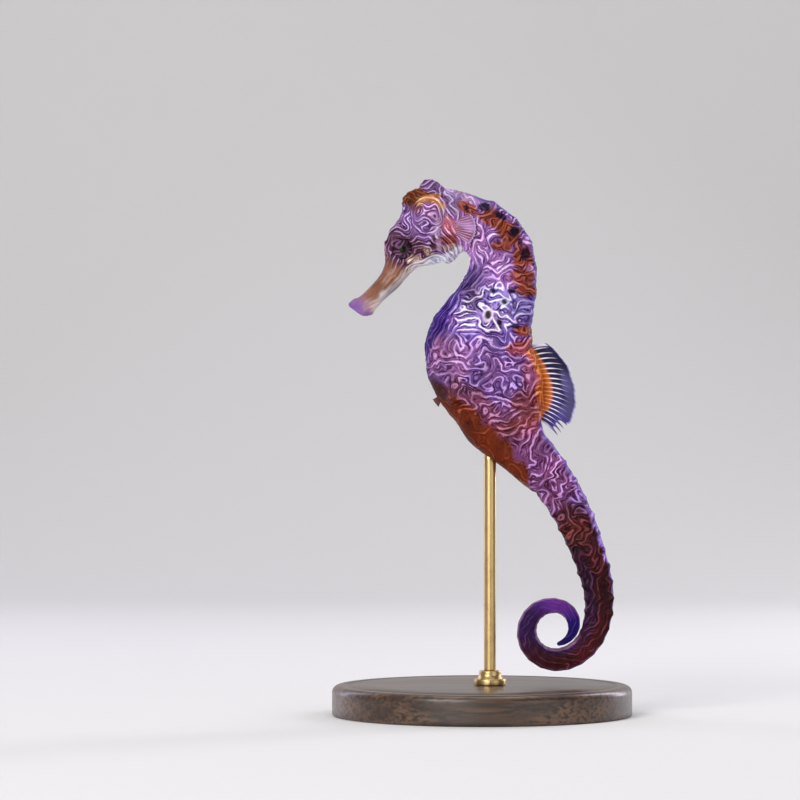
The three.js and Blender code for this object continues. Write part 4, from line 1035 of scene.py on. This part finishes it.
# %% Skin mesh
def skin_mesh():
    """Joins stretches of rows that keep every column, every second or every fourth one into one
    closed mesh."""
    every = np.ones(ROWS, int)
    every[(row_q < SNOUT_ROOT) | (row_q > TAIL_ROOT + 1)] = 2
    every[(row_q < SNOUT_ROOT - 0.4) | (row_q > TAIL_ROOT + 34)] = 4
    keep = np.arange(COLUMNS)[None, :] % every[:, None] == 0
    index = -np.ones((ROWS, COLUMNS), int)
    index[keep] = np.arange(keep.sum())
    quads, thirds = [], []
    for i in range(ROWS - 1):
        coarse = max(every[i], every[i + 1])
        j = np.arange(0, COLUMNS, coarse)
        k = (j + coarse) % COLUMNS
        a, b = index[i], index[i + 1]
        if every[i] == every[i + 1]:
            quads.append(np.stack([a[j], a[k], b[k], b[j]], -1))
            continue
        m = j + coarse // 2
        f, g = (a, b) if every[i] < every[i + 1] else (b, a)
        for corners in (f[j], f[m], g[j]), (f[m], g[k], g[j]), (f[m], f[k], g[k]):
            three = np.stack(corners, -1)
            thirds.append(three if f is a else three[:, ::-1])
    for i, rim in enumerate((index[0, :: every[0]], index[-1, :: every[-1]])):
        a, b = (np.roll(rim, -1), rim) if i == 0 else (rim, np.roll(rim, -1))
        thirds.append(np.stack([a, b, np.full(len(rim), keep.sum() + i)], -1))

    def taken(table):
        table = table.reshape(ROWS, COLUMNS, -1)
        return np.vstack([table[keep], table[0].mean(0), table[-1].mean(0)])

    points, quads, thirds = taken(shaped), np.vstack(quads), np.vstack(thirds)
    print("skin triangles:", 2 * len(quads) + len(thirds))
    return mesh_from(
        "seahorse_skin",
        points,
        [tuple(f) for part in outward(points, [quads, thirds]) for f in part],
        skin_material,
        [(name, taken(paint[:, :, k])) for k, name in enumerate(("groove", "flank", "crest"))],
        [(name, taken(table)) for name, table in line_tables.items()],
    )


line_tables = {
    "field_a": field_a, "octave_a": octave_a, "field_b": field_b, "octave_b": octave_b,
    "share_b": share_b, "tilt": tilt, "strength": np.clip(strength * 1.3, 0, 1),
}
seahorse_skin = skin_mesh()
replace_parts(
    seahorse_skin, "snout", "head", "neck", "trunk_upper", "trunk_lower", "brood_pouch",
    "tail_1", "tail_2", "tail_3", "tail_4", "tail_5", "tail_6", "tail_7", "tail_8",
)

# %% [markdown]
# ## Eyes
#
# A seahorse's eye turns in a raised ring of skin, and the stripes of the cheek run on across it to
# a small dark pupil. On a cast it is a painted ball under clear lacquer. Each ball is a table of
# points round the axis that looks out from the head, with its colours laid on by the same table.

# %% Eyes
EYE_Y, EYE_RADIUS, EYE_BULGE = 2.25, 2.05, 1.7
STRIPES, PUPIL, IRIS_RING, IRIS_EDGE = 10, (18, 21), (23.0, 2.6), (66, 88)  # a number, and degrees
eye_material, tree, shader, place = new_material(
    "lacquered_eye", Roughness=0.35, Specular_IOR_Level=0.1, Coat_Weight=0.16, Coat_Roughness=0.05
)
mottle = place_group(tree, MOTTLE, place, Scale=1800.0, Amount=0.5)
give_colour(tree, shader, attribute(tree, "tint", "Color"), mottle["Tone"])


def over(tint, rgb, mask):
    """A table of colours with one more laid over it, as far as the mask goes."""
    return blend(tint, linear(rgb), mask[..., None])


def make_eye(name, side):
    """An ellipsoid round the side axis: polar angle by rows, angle round by columns. Radial stripes
    are cos(10 x angle) bent by a cloud; the pupil is the cap within about 20 degrees of the axis."""
    polar = np.linspace(0.02, math.pi - 0.02, 60)[:, None]
    angle = np.linspace(0, math.tau, 120, endpoint=False)[None, :]
    polar_degrees = np.degrees(polar)
    swell = 1 + 0.04 * np.exp(-((polar / 0.42) ** 4))
    x = EYE_X + EYE_RADIUS * np.sin(polar) * np.cos(angle)
    y = side * (EYE_Y + EYE_BULGE * swell * np.cos(polar))
    z = EYE_Z + EYE_RADIUS * np.sin(polar) * np.sin(angle)
    table = np.stack(np.broadcast_arrays(x, y, z), -1)
    stripes = 0.5 + 0.5 * np.cos(STRIPES * angle + 3.0 * cloud(table, 2.4, 31))
    stripes = stripes * (0.6 + 0.4 * np.clip(cloud(table, 1.6, 32), -1, 1))
    iris = over(linear((40, 16, 28)), (132, 92, 132), stripes**1.6)
    iris = over(iris, (60, 32, 40), smooth(polar_degrees, *IRIS_EDGE))
    iris = over(iris, (110, 76, 70), 0.4 * bell(polar_degrees, *IRIS_RING))
    iris = over(iris, (4, 3, 6), fade(polar_degrees, *PUPIL))
    made = closed_tube(name, table, eye_material, [("tint", iris)])
    return made


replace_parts(make_eye("eyeball_left", -1), "eye_left")
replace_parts(make_eye("eyeball_right", 1), "eye_right")

# %% [markdown]
# ## Coronet
#
# On top of the head stands a small crown of bone under skin, as different from one seahorse to the
# next as our fingerprints are. This one is low: a wall that leans in round an oval and rises to
# five blunt lobes, the front ones tallest, with a shallow dish inside, like a breaking wave.

# %% Coronet
CROWN_X, CROWN_Z, CROWN_LONG, CROWN_WIDE, CROWN_POINTS = -9.7, 104.2, 3.0, 1.8, 5
CROWN_LOW, CROWN_RISE, CROWN_LOBE, CROWN_LEAN, CROWN_FLOOR = 1.15, 1.6, 0.12, 0.36, 1.3
CROWN_AHEAD = 0.72  # under 1, the highest place lies behind the foremost one
CROWN_BELLY, CROWN_LIP, CROWN_RELIEF = 0.07, 0.14, 0.07
around = np.linspace(0, math.tau, 150, endpoint=False)[None, :]
lobe = 0.5 + 0.5 * np.cos(CROWN_POINTS * (around - math.pi))
ahead = 0.5 - 0.5 * np.cos(around)
wall = np.linspace(0, 1, 26)[:, None]
dish = np.linspace(0, 0.97, 16)[1:, None]
tall = CROWN_LOW + CROWN_RISE * np.sin(math.pi * ahead**CROWN_AHEAD / (1 + CROWN_AHEAD))
tall += CROWN_LOBE * lobe * ahead
wall_out = 1.0 - CROWN_LEAN * wall**1.6 + CROWN_BELLY * np.sin(math.pi * wall)
dish_up = blend(tall, CROWN_FLOOR, smooth(dish, 0.1, 1.0))
dish_up += CROWN_LIP * np.sin(math.pi * np.clip(dish / 0.4, 0, 1))
out_share = np.vstack([wall_out, (1.0 - CROWN_LEAN) * (1 - dish)]) * np.ones_like(around)
up = np.vstack([wall * tall, dish_up])
x, y = CROWN_X + CROWN_LONG * out_share * np.cos(around), CROWN_WIDE * out_share * np.sin(around)
crown = np.stack([x, y, CROWN_Z + up], -1)
crown_field = up / 0.9 + 0.4 * out_share + 0.5 * cloud(crown, 2.4, 41)
crown_out = crown - crown.mean((0, 1))
crown_out /= lengths(crown_out)[..., None]
crown = crown + CROWN_RELIEF * np.cos(math.tau * crown_field)[..., None] * crown_out
warm = smooth(-crown[..., 0], 10.6, 12.6)[..., None] * smooth(106.0 - crown[..., 2], 0.0, 0.8)[..., None]
coats = [blend(PAINTS["crown"][k], PAINTS["brow_orange"][k], 0.8 * warm) for k in range(3)]
none = np.zeros_like(crown_field)
coronet_crest = closed_tube(
    "coronet_crest", crown, skin_material, list(zip(("groove", "flank", "crest"), coats)),
    [(name, none) for name in line_tables if name not in ("field_a", "strength")]
    + [("field_a", crown_field), ("strength", none + 0.6)],
)
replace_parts(coronet_crest, "coronet")

# %% [markdown]
# ## Fins
#
# A fin is a film of skin over a fan of thin rays, so light lines cross a dark, slightly puckered
# membrane. It could be a flat plane with painted lines, but then its edge would be dead straight.
# Here it is a thin solid: one number runs along the root, the other out to the edge, and the rays
# are swellings of its thickness that die away before the scalloped edge.

# %% Fin tools
FILM, RAY_SWELL, FIN_SUNK = 0.24, 0.4, 1.1
FIN_END, FIN_TIP, FLARE_END, FLARE_POWER = 0.012, 0.05, 0.34, 2.2
fin_material, tree, shader, place = new_material(
    "fin_film",
    Roughness=0.42,
    Specular_IOR_Level=0.2,
    Coat_Weight=0.08,
    Coat_Roughness=0.2,
    Sheen_Weight=0.06,
    Sheen_Roughness=0.4,
    Sheen_Tint=(0.7, 0.7, 1.0, 1.0),
    Subsurface_Weight=0.05,
    Subsurface_Radius=(0.0006, 0.0006, 0.001),
    Subsurface_Scale=1.0,
)
mottle = place_group(tree, MOTTLE, place, Scale=1300.0, Amount=0.35)
give_colour(tree, shader, attribute(tree, "tint", "Color"), mottle["Tone"])
give_bump(tree, shader, mottle["Height"], 0.3, 0.0001)


def fin_piece(name, rays, per_ray, rows, middle, way, painted, scallop, flare=0.0):
    """A thin closed solid. middle(u, v) is its middle sheet, way the unit direction of its
    thickness, painted(u, v, ray) its colour, and scallop(u) how far its edge draws in between the
    rays. A ray is (0.5 + 0.5 cos(2 pi rays u))^4. The flare is the extra half thickness of a fleshy
    root, which is gone at FLARE_END of the way out."""
    u = np.linspace(0, 1, rays * per_ray + 1)[:, None]
    v = np.linspace(0, 1, rows)[None, :]
    ray = wave(rays * u) ** 4 * np.ones_like(v)
    sheet = np.stack(np.broadcast_arrays(*middle(u, v * (1 - scallop(u) * (1 - ray)))), -1)
    ends = smooth(u, 0, FIN_END) * smooth(1 - u, 0, FIN_END)
    half = (FILM * (1 - 0.55 * v) + RAY_SWELL * ray * (1 - v) ** 0.7) / 2
    half = half + flare * np.clip(1 - v / FLARE_END, 0, 1) ** FLARE_POWER
    half = half * (0.15 + 0.85 * ends) * (0.25 + 0.75 * smooth(1 - v, 0, FIN_TIP))
    thick = half[..., None] * np.array(way)
    tint = painted(u, v, ray)
    table = np.concatenate([sheet + thick, (sheet - thick)[:, ::-1]], 1)
    return closed_tube(name, table, fin_material, [("tint", np.concatenate([tint, tint[:, ::-1]], 1))])


def fanned(x, z, degrees, out):
    """Points at a distance out from (x, z), in a direction given in degrees above +X."""
    a = np.radians(degrees)
    return x + out * np.cos(a), z + out * np.sin(a)


def fin_cloud(u, v, size, seed):
    """A cloud over a fin, for u and v stretched to the fin's proportions."""
    return cloud(np.stack(np.broadcast_arrays(u, v, 0.0), -1), size, seed)


# %% Dorsal fin
DORSAL_LENGTHS = [3.3, 5.1, 6.0, 6.2, 6.35, 6.4, 6.3, 5.7, 4.7]
DORSAL_RIPPLE, DORSAL_WAVE, DORSAL_PLEAT = 0.1, 0.35, 0.12


def dorsal_sheet(u, v):
    """The root is a spline down the back; each ray leaves it in a fan and bends down towards its
    tip, with a length that changes along the root, and the sheet waves sideways at its edge."""
    root = spline_rows(DORSAL_ROOT, 2 * u[:, 0])
    length = spline_rows(DORSAL_LENGTHS, u[:, 0] * (len(DORSAL_LENGTHS) - 1))
    length = length + DORSAL_RIPPLE * np.sin(11 * math.pi * u)
    direction = blend(*DORSAL_FAN, u) - DORSAL_BEND * v**1.5
    x, z = fanned(root[:, 0:1], root[:, 1:2], direction, blend(-FIN_SUNK, length, v))
    y = DORSAL_WAVE * v * np.sin(2.4 * math.pi * u) + DORSAL_PLEAT * v * np.cos(math.tau * DORSAL_RAYS * u)
    return x, y, z


def dorsal_paint(u, v, ray):
    """Orange at the root, ink blue half way and slate outside, with a thin pale rim. The rays are
    white, broad at the root, and end in points."""
    film = fin_cloud(u * 15, v * 7, 3.0, 51)
    root_edge = 0.22 + 0.05 * np.sin(math.pi * u)
    navy = over(linear((28, 20, 58)), (58, 44, 116), smooth(u, 0.35, 0.9))
    outer = over(linear((32, 28, 60)), (68, 62, 102), smooth(u + 0.06 * film, 0.08, 0.34))
    outer = over(outer, (76, 62, 140), smooth(u, 0.7, 0.9)) * (1 + 0.22 * film[..., None])
    tint = over(linear((172, 76, 20)), (200, 102, 28), smooth(v, 0.1, 0.25))
    tint = blend(tint, navy, smooth(v, root_edge, root_edge + 0.1)[..., None])
    tint = blend(tint, outer, smooth(v + 0.05 * film, 0.6, 0.76)[..., None])
    tint = over(tint, (176, 170, 214), smooth(v, 0.945, 0.97))
    tint = over(tint, (226, 216, 248), fade(u, 0.028, 0.044) * span(v, 0.16, 0.3, 0.8, 0.95))
    fine = smooth(v, 0.25, 0.75)
    thin = smooth(ray, blend(0.34, 0.85, fine), blend(0.8, 1.0, fine))
    pale = over(linear((244, 160, 90)), (252, 246, 255), smooth(v, 0.2, 0.36))
    pale = over(pale, (170, 160, 226), smooth(v, 0.5, 0.7) * smooth(u, 0.2, 0.5))
    return blend(tint, pale, (thin * span(v, 0.02, 0.2, 0.62, 0.84))[..., None])


def dorsal_scallop(u):
    """Nearly none, but deep past the last rays, whose tips stand free."""
    return 0.015 + 0.3 * smooth(u, 0.8, 0.88)


ACROSS = (0.0, 1.0, 0.0)
DORSAL_FLARE = 1.5
dorsal = fin_piece(
    "dorsal_fin_film", DORSAL_RAYS, 12, 44, dorsal_sheet, ACROSS, dorsal_paint, dorsal_scallop, DORSAL_FLARE
)
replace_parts(dorsal, "dorsal_fin")

# %% Pectoral fins
PECTORAL_RAYS = 10
PECTORAL_X, PECTORAL_Y, PECTORAL_Z, PECTORAL_HIGH = -5.7, 2.5, 97.4, 2.6
PECTORAL_FAN, PECTORAL_LENGTH, PECTORAL_SPLAY = (22.0, -34.0), 5.0, math.radians(24.0)
PECTORAL_CURL, PECTORAL_PLEAT = 0.3, 0.08


def pectoral_paint(u, v, ray):
    """Red brown at the root and lilac outside, with pale rays."""
    film = np.clip(0.5 + 0.5 * fin_cloud(u * 6, v * 5, 2.4, 52), 0, 1)
    tint = over(linear((132, 70, 92)), (176, 132, 180), film)
    tint = blend(linear((160, 66, 56)), tint, smooth(v, 0.2, 0.42)[..., None])
    tint = over(tint, (190, 160, 212), smooth(v, 0.93, 0.98))
    pale = over(linear((226, 190, 214)), (206, 172, 226), v)
    return blend(tint, pale, 0.85 * (smooth(ray, 0.3, 0.85) * span(v, 0.1, 0.25, 0.8, 0.97))[..., None])


def pectoral(name, side):
    """A small fan behind the gill cover that stands off from the neck and curls out at its edge."""

    def sheet(u, v):
        out = blend(-FIN_SUNK, PECTORAL_LENGTH * (0.82 + 0.18 * np.sin(math.pi * u)), v)
        root_z = PECTORAL_Z + PECTORAL_HIGH * (0.5 - u)
        x, z = fanned(PECTORAL_X, root_z, blend(*PECTORAL_FAN, u), out * math.cos(PECTORAL_SPLAY))
        curl = PECTORAL_CURL * v * v + PECTORAL_PLEAT * v * np.cos(math.tau * PECTORAL_RAYS * u)
        return x, side * (PECTORAL_Y + out * math.sin(PECTORAL_SPLAY) + curl), z

    way = (-math.sin(PECTORAL_SPLAY), side * math.cos(PECTORAL_SPLAY), 0.0)
    made = fin_piece(name, PECTORAL_RAYS, 12, 30, sheet, way, pectoral_paint, lambda u: 0.04)
    return made


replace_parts(pectoral("pectoral_film_left", -1), "pectoral_fin_left")
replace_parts(pectoral("pectoral_film_right", 1), "pectoral_fin_right")

# %% Anal fin
ANAL_RAYS, ANAL_X, ANAL_Z, ANAL_FAN, ANAL_LENGTH = 4, -8.8, 62.9, (-150.0, -112.0), 0.85


def anal_sheet(u, v):
    """A tiny fan under the belly, in front of the pouch."""
    root_x, root_z = ANAL_X - 0.8 * (0.5 - u), ANAL_Z + 1.2 * (0.5 - u)
    x, z = fanned(root_x, root_z, blend(*ANAL_FAN, u), blend(-FIN_SUNK, ANAL_LENGTH, v))
    return x, 0.06 * v * np.cos(math.tau * ANAL_RAYS * u), z


def anal_paint(u, v, ray):
    """Brown film with pale rays, like the belly behind it."""
    return over(over(linear((58, 24, 18)), (80, 40, 32), v), (120, 76, 74), 0.8 * ray * fade(v, 0.8, 1.0))


anal = fin_piece("anal_fin_film", ANAL_RAYS, 12, 16, anal_sheet, ACROSS, anal_paint, lambda u: 0.06)
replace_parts(anal, "anal_fin")

# %% [markdown]
# ## The stand
#
# The stand is turned work: a round foot of dark hardwood with a rounded edge and a satin oil
# finish, a brass collar, and a brass rod that meets the animal under its pouch. Each is a profile
# turned about an upright axis, which is how a lathe makes the real ones.

# %% Turned pieces
AXIS = 0.05  # radius at which a profile begins and ends, where a pole closes it


def turned(name, profile, axis_x, material, columns):
    """A profile of (radius, height) rows carried round an upright axis."""
    a = np.linspace(0, math.tau, columns, endpoint=False)[None, :]
    r, z = np.asarray(profile, float)[:, :, None].swapaxes(0, 1)
    table = np.stack(np.broadcast_arrays(axis_x + r * np.cos(a), r * np.sin(a), z), -1)
    return closed_tube(name, table, material)


def quarter(cx, cz, radius, start, stop, count):
    """Profile points on part of a circle, from one angle to another."""
    return [fanned(cx, cz, angle, radius) for angle in np.linspace(start, stop, count)]


# %% Wood and brass
def make_wood():
    """Dark hardwood: long grain along X in two tones, finer pores, a satin coat."""
    material, tree, shader, place = new_material(
        "dark_hardwood", Roughness=0.4, Coat_Weight=0.35, Coat_Roughness=0.22, IOR=1.5
    )
    fed = {"Vector": place, "Rotation": (0.12, math.pi / 2, 0.0)}
    along_x = node(tree, "ShaderNodeMapping", fed).outputs[0]
    broad = place_group(tree, GRAIN, along_x, Scale=260.0, Length=14.0)
    pores = place_group(tree, GRAIN, along_x, Scale=1700.0, Length=30.0)
    broad_mask = ramp_mask(tree, broad["Lines"], 0.36, 0.66)
    tone = colour_mix(tree, broad_mask, (0.045, 0.022, 0.012, 1), (0.135, 0.068, 0.034, 1))
    between_pores = ramp_mask(tree, pores["Lines"], 0.36, 0.56)
    colour = colour_mix(tree, between_pores, (0.024, 0.012, 0.007, 1), tone)
    tree.links.new(colour, shader.inputs["Base Color"])
    give_bump(tree, shader, pores["Lines"], 0.25, 0.0001)
    return material


def make_brass():
    """Drawn brass: fine lines along the rod that vary its roughness, and a faint tarnish."""
    material, tree, shader, place = new_material("drawn_brass", Metallic=1.0, Anisotropic=0.4)
    lines = place_group(tree, GRAIN, place, Scale=2400.0, Length=40.0)
    mottle = place_group(tree, MOTTLE, place, Scale=160.0, Amount=0.4)
    rough = node(tree, "ShaderNodeMapRange", {"Value": lines["Lines"], "To Min": 0.2, "To Max": 0.42})
    tree.links.new(rough.outputs["Result"], shader.inputs["Roughness"])
    tarnish = ramp_mask(tree, mottle["Height"], 0.42, 0.7)
    colour = colour_mix(tree, tarnish, (0.62, 0.44, 0.19, 1), (0.43, 0.29, 0.13, 1))
    tree.links.new(colour, shader.inputs["Base Color"])
    return material


wood, brass = make_wood(), make_brass()

# %% Foot, collar and rod
BASE_RADIUS, BASE_HEIGHT, BASE_EDGE = 30.0, 6.0, 1.4
ROD_X, ROD_RADIUS, ROD_TOP = 1.6, 1.2, 52.35
COLLAR_RADIUS, COLLAR_TOP = 3.2, 8.9
foot_profile = [
    (AXIS, 0.0), (12.0, 0.0), (24.0, 0.0),
    *quarter(BASE_RADIUS - 0.5, 0.5, 0.5, -90, 0, 5),
    *[(BASE_RADIUS, z) for z in np.linspace(1.0, BASE_HEIGHT - BASE_EDGE - 0.3, 5)],
    *quarter(BASE_RADIUS - BASE_EDGE, BASE_HEIGHT - BASE_EDGE, BASE_EDGE, 0, 90, 12),
    (27.2, 6.0), (27.0, 5.86), (26.6, 5.86), (26.4, 6.0), (20.0, 6.0), (10.0, 6.0), (AXIS, 6.0),
]
foot = turned("stand_foot", foot_profile, 0.0, wood, 192)
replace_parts(foot, "stand_base")

collar_profile = [
    (AXIS, 6.0), (COLLAR_RADIUS - 0.2, 6.0), *quarter(COLLAR_RADIUS - 0.25, 6.25, 0.25, -60, 0, 4),
    *quarter(COLLAR_RADIUS - 0.3, 7.0, 0.3, 0, 90, 5), (2.6, 7.32), *quarter(3.2, 8.3, 1.0, 230, 175, 7),
    *quarter(1.95, 8.65, 0.25, 0, 90, 5), (1.3, COLLAR_TOP), (AXIS, COLLAR_TOP),
]
collar = turned("stand_collar_turned", collar_profile, ROD_X, brass, 96)
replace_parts(collar, "stand_collar")

rod_profile = [
    (AXIS, COLLAR_TOP - 0.1), (ROD_RADIUS, COLLAR_TOP - 0.1),
    *[(ROD_RADIUS, z) for z in np.linspace(9.2, 50.4, 24)],
    (ROD_RADIUS, ROD_TOP - 0.2), (ROD_RADIUS - 0.2, ROD_TOP), (AXIS, ROD_TOP),
]
rod = turned("stand_rod_drawn", rod_profile, ROD_X, brass, 64)
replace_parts(rod, "stand_rod")

# %% [markdown]
# ## Stage and light
#
# A pale sweep, floor and wall in one curve, keeps the eye on the animal. Large soft lamps at the
# left front and above give the even light of a studio, and two strips behind draw a thin bright
# rim along the back and the chest.

# %% Stage, in metres
SWEEP_RADIUS, FLOOR_FROM, FLOOR_END, WALL_TOP, SWEEP_WIDTH = 0.35, -2.2, 0.45, 1.6, 5.0


def sweep():
    """A strip that runs along the floor and turns up behind in a quarter circle."""
    angle = np.linspace(0, math.pi / 2, 24)
    bend = [FLOOR_END + SWEEP_RADIUS * np.sin(angle), SWEEP_RADIUS - SWEEP_RADIUS * np.cos(angle)]
    line = np.vstack([[FLOOR_FROM, 0.0], np.transpose(bend), [FLOOR_END + SWEEP_RADIUS, WALL_TOP]])
    points = [(x, y, z) for y, z in line for x in (-SWEEP_WIDTH / 2, SWEEP_WIDTH / 2)]
    faces = [(2 * k, 2 * k + 1, 2 * k + 3, 2 * k + 2) for k in range(len(line) - 1)]
    mesh = bpy.data.meshes.new("studio_sweep")
    mesh.from_pydata(points, [], faces)
    mesh.polygons.foreach_set("use_smooth", np.ones(len(faces), bool))
    mesh.materials.append(new_material("studio_paper", Base_Color=(0.8, 0.79, 0.78, 1.0), Roughness=0.85)[0])
    made = bpy.data.objects.new("studio_sweep", mesh)
    bpy.context.collection.objects.link(made)


sweep()

# %% Lamps and room
LAMPS = [  # name, place, aim, width, height, watts and colour
    ("key", (-0.45, -0.75, 0.55), (0, 0, 0.06), 0.5, 0.5, 6.0, (1.0, 0.98, 0.96)),
    ("fill", (0.6, -0.7, 0.2), (0, 0, 0.06), 0.6, 0.6, 1.5, (0.97, 0.97, 1.0)),
    ("top", (0.0, 0.05, 0.8), (0, 0, 0.05), 0.6, 0.5, 2.5, (1.0, 1.0, 1.0)),
    ("rim_right", (0.4, 0.35, 0.25), (0, 0, 0.07), 0.12, 0.5, 1.6, (0.9, 0.88, 1.0)),
    ("rim_left", (-0.4, 0.35, 0.2), (0, 0, 0.07), 0.12, 0.5, 0.8, (0.75, 0.72, 1.0)),
    ("low", (-0.25, -0.6, 0.03), (-0.01, 0, 0.09), 0.4, 0.2, 0.9, (1.0, 1.0, 1.0)),
]
for name, place, aim, width, height, watts, colour in LAMPS:
    data = bpy.data.lights.new(name, "AREA")
    data.shape, data.size, data.size_y = "RECTANGLE", width, height
    data.energy, data.color = watts, colour
    lamp = bpy.data.objects.new(name, data)
    lamp.location = place
    lamp.rotation_euler = (Vector(aim) - lamp.location).to_track_quat("-Z", "Y").to_euler()
    bpy.context.collection.objects.link(lamp)
world = bpy.data.worlds.new("soft_room")
world.use_nodes = True
room_light = world.node_tree.nodes["Background"].inputs
room_light["Color"].default_value = (0.92, 0.94, 1.0, 1.0)
room_light["Strength"].default_value = 0.16
bpy.context.scene.world = world
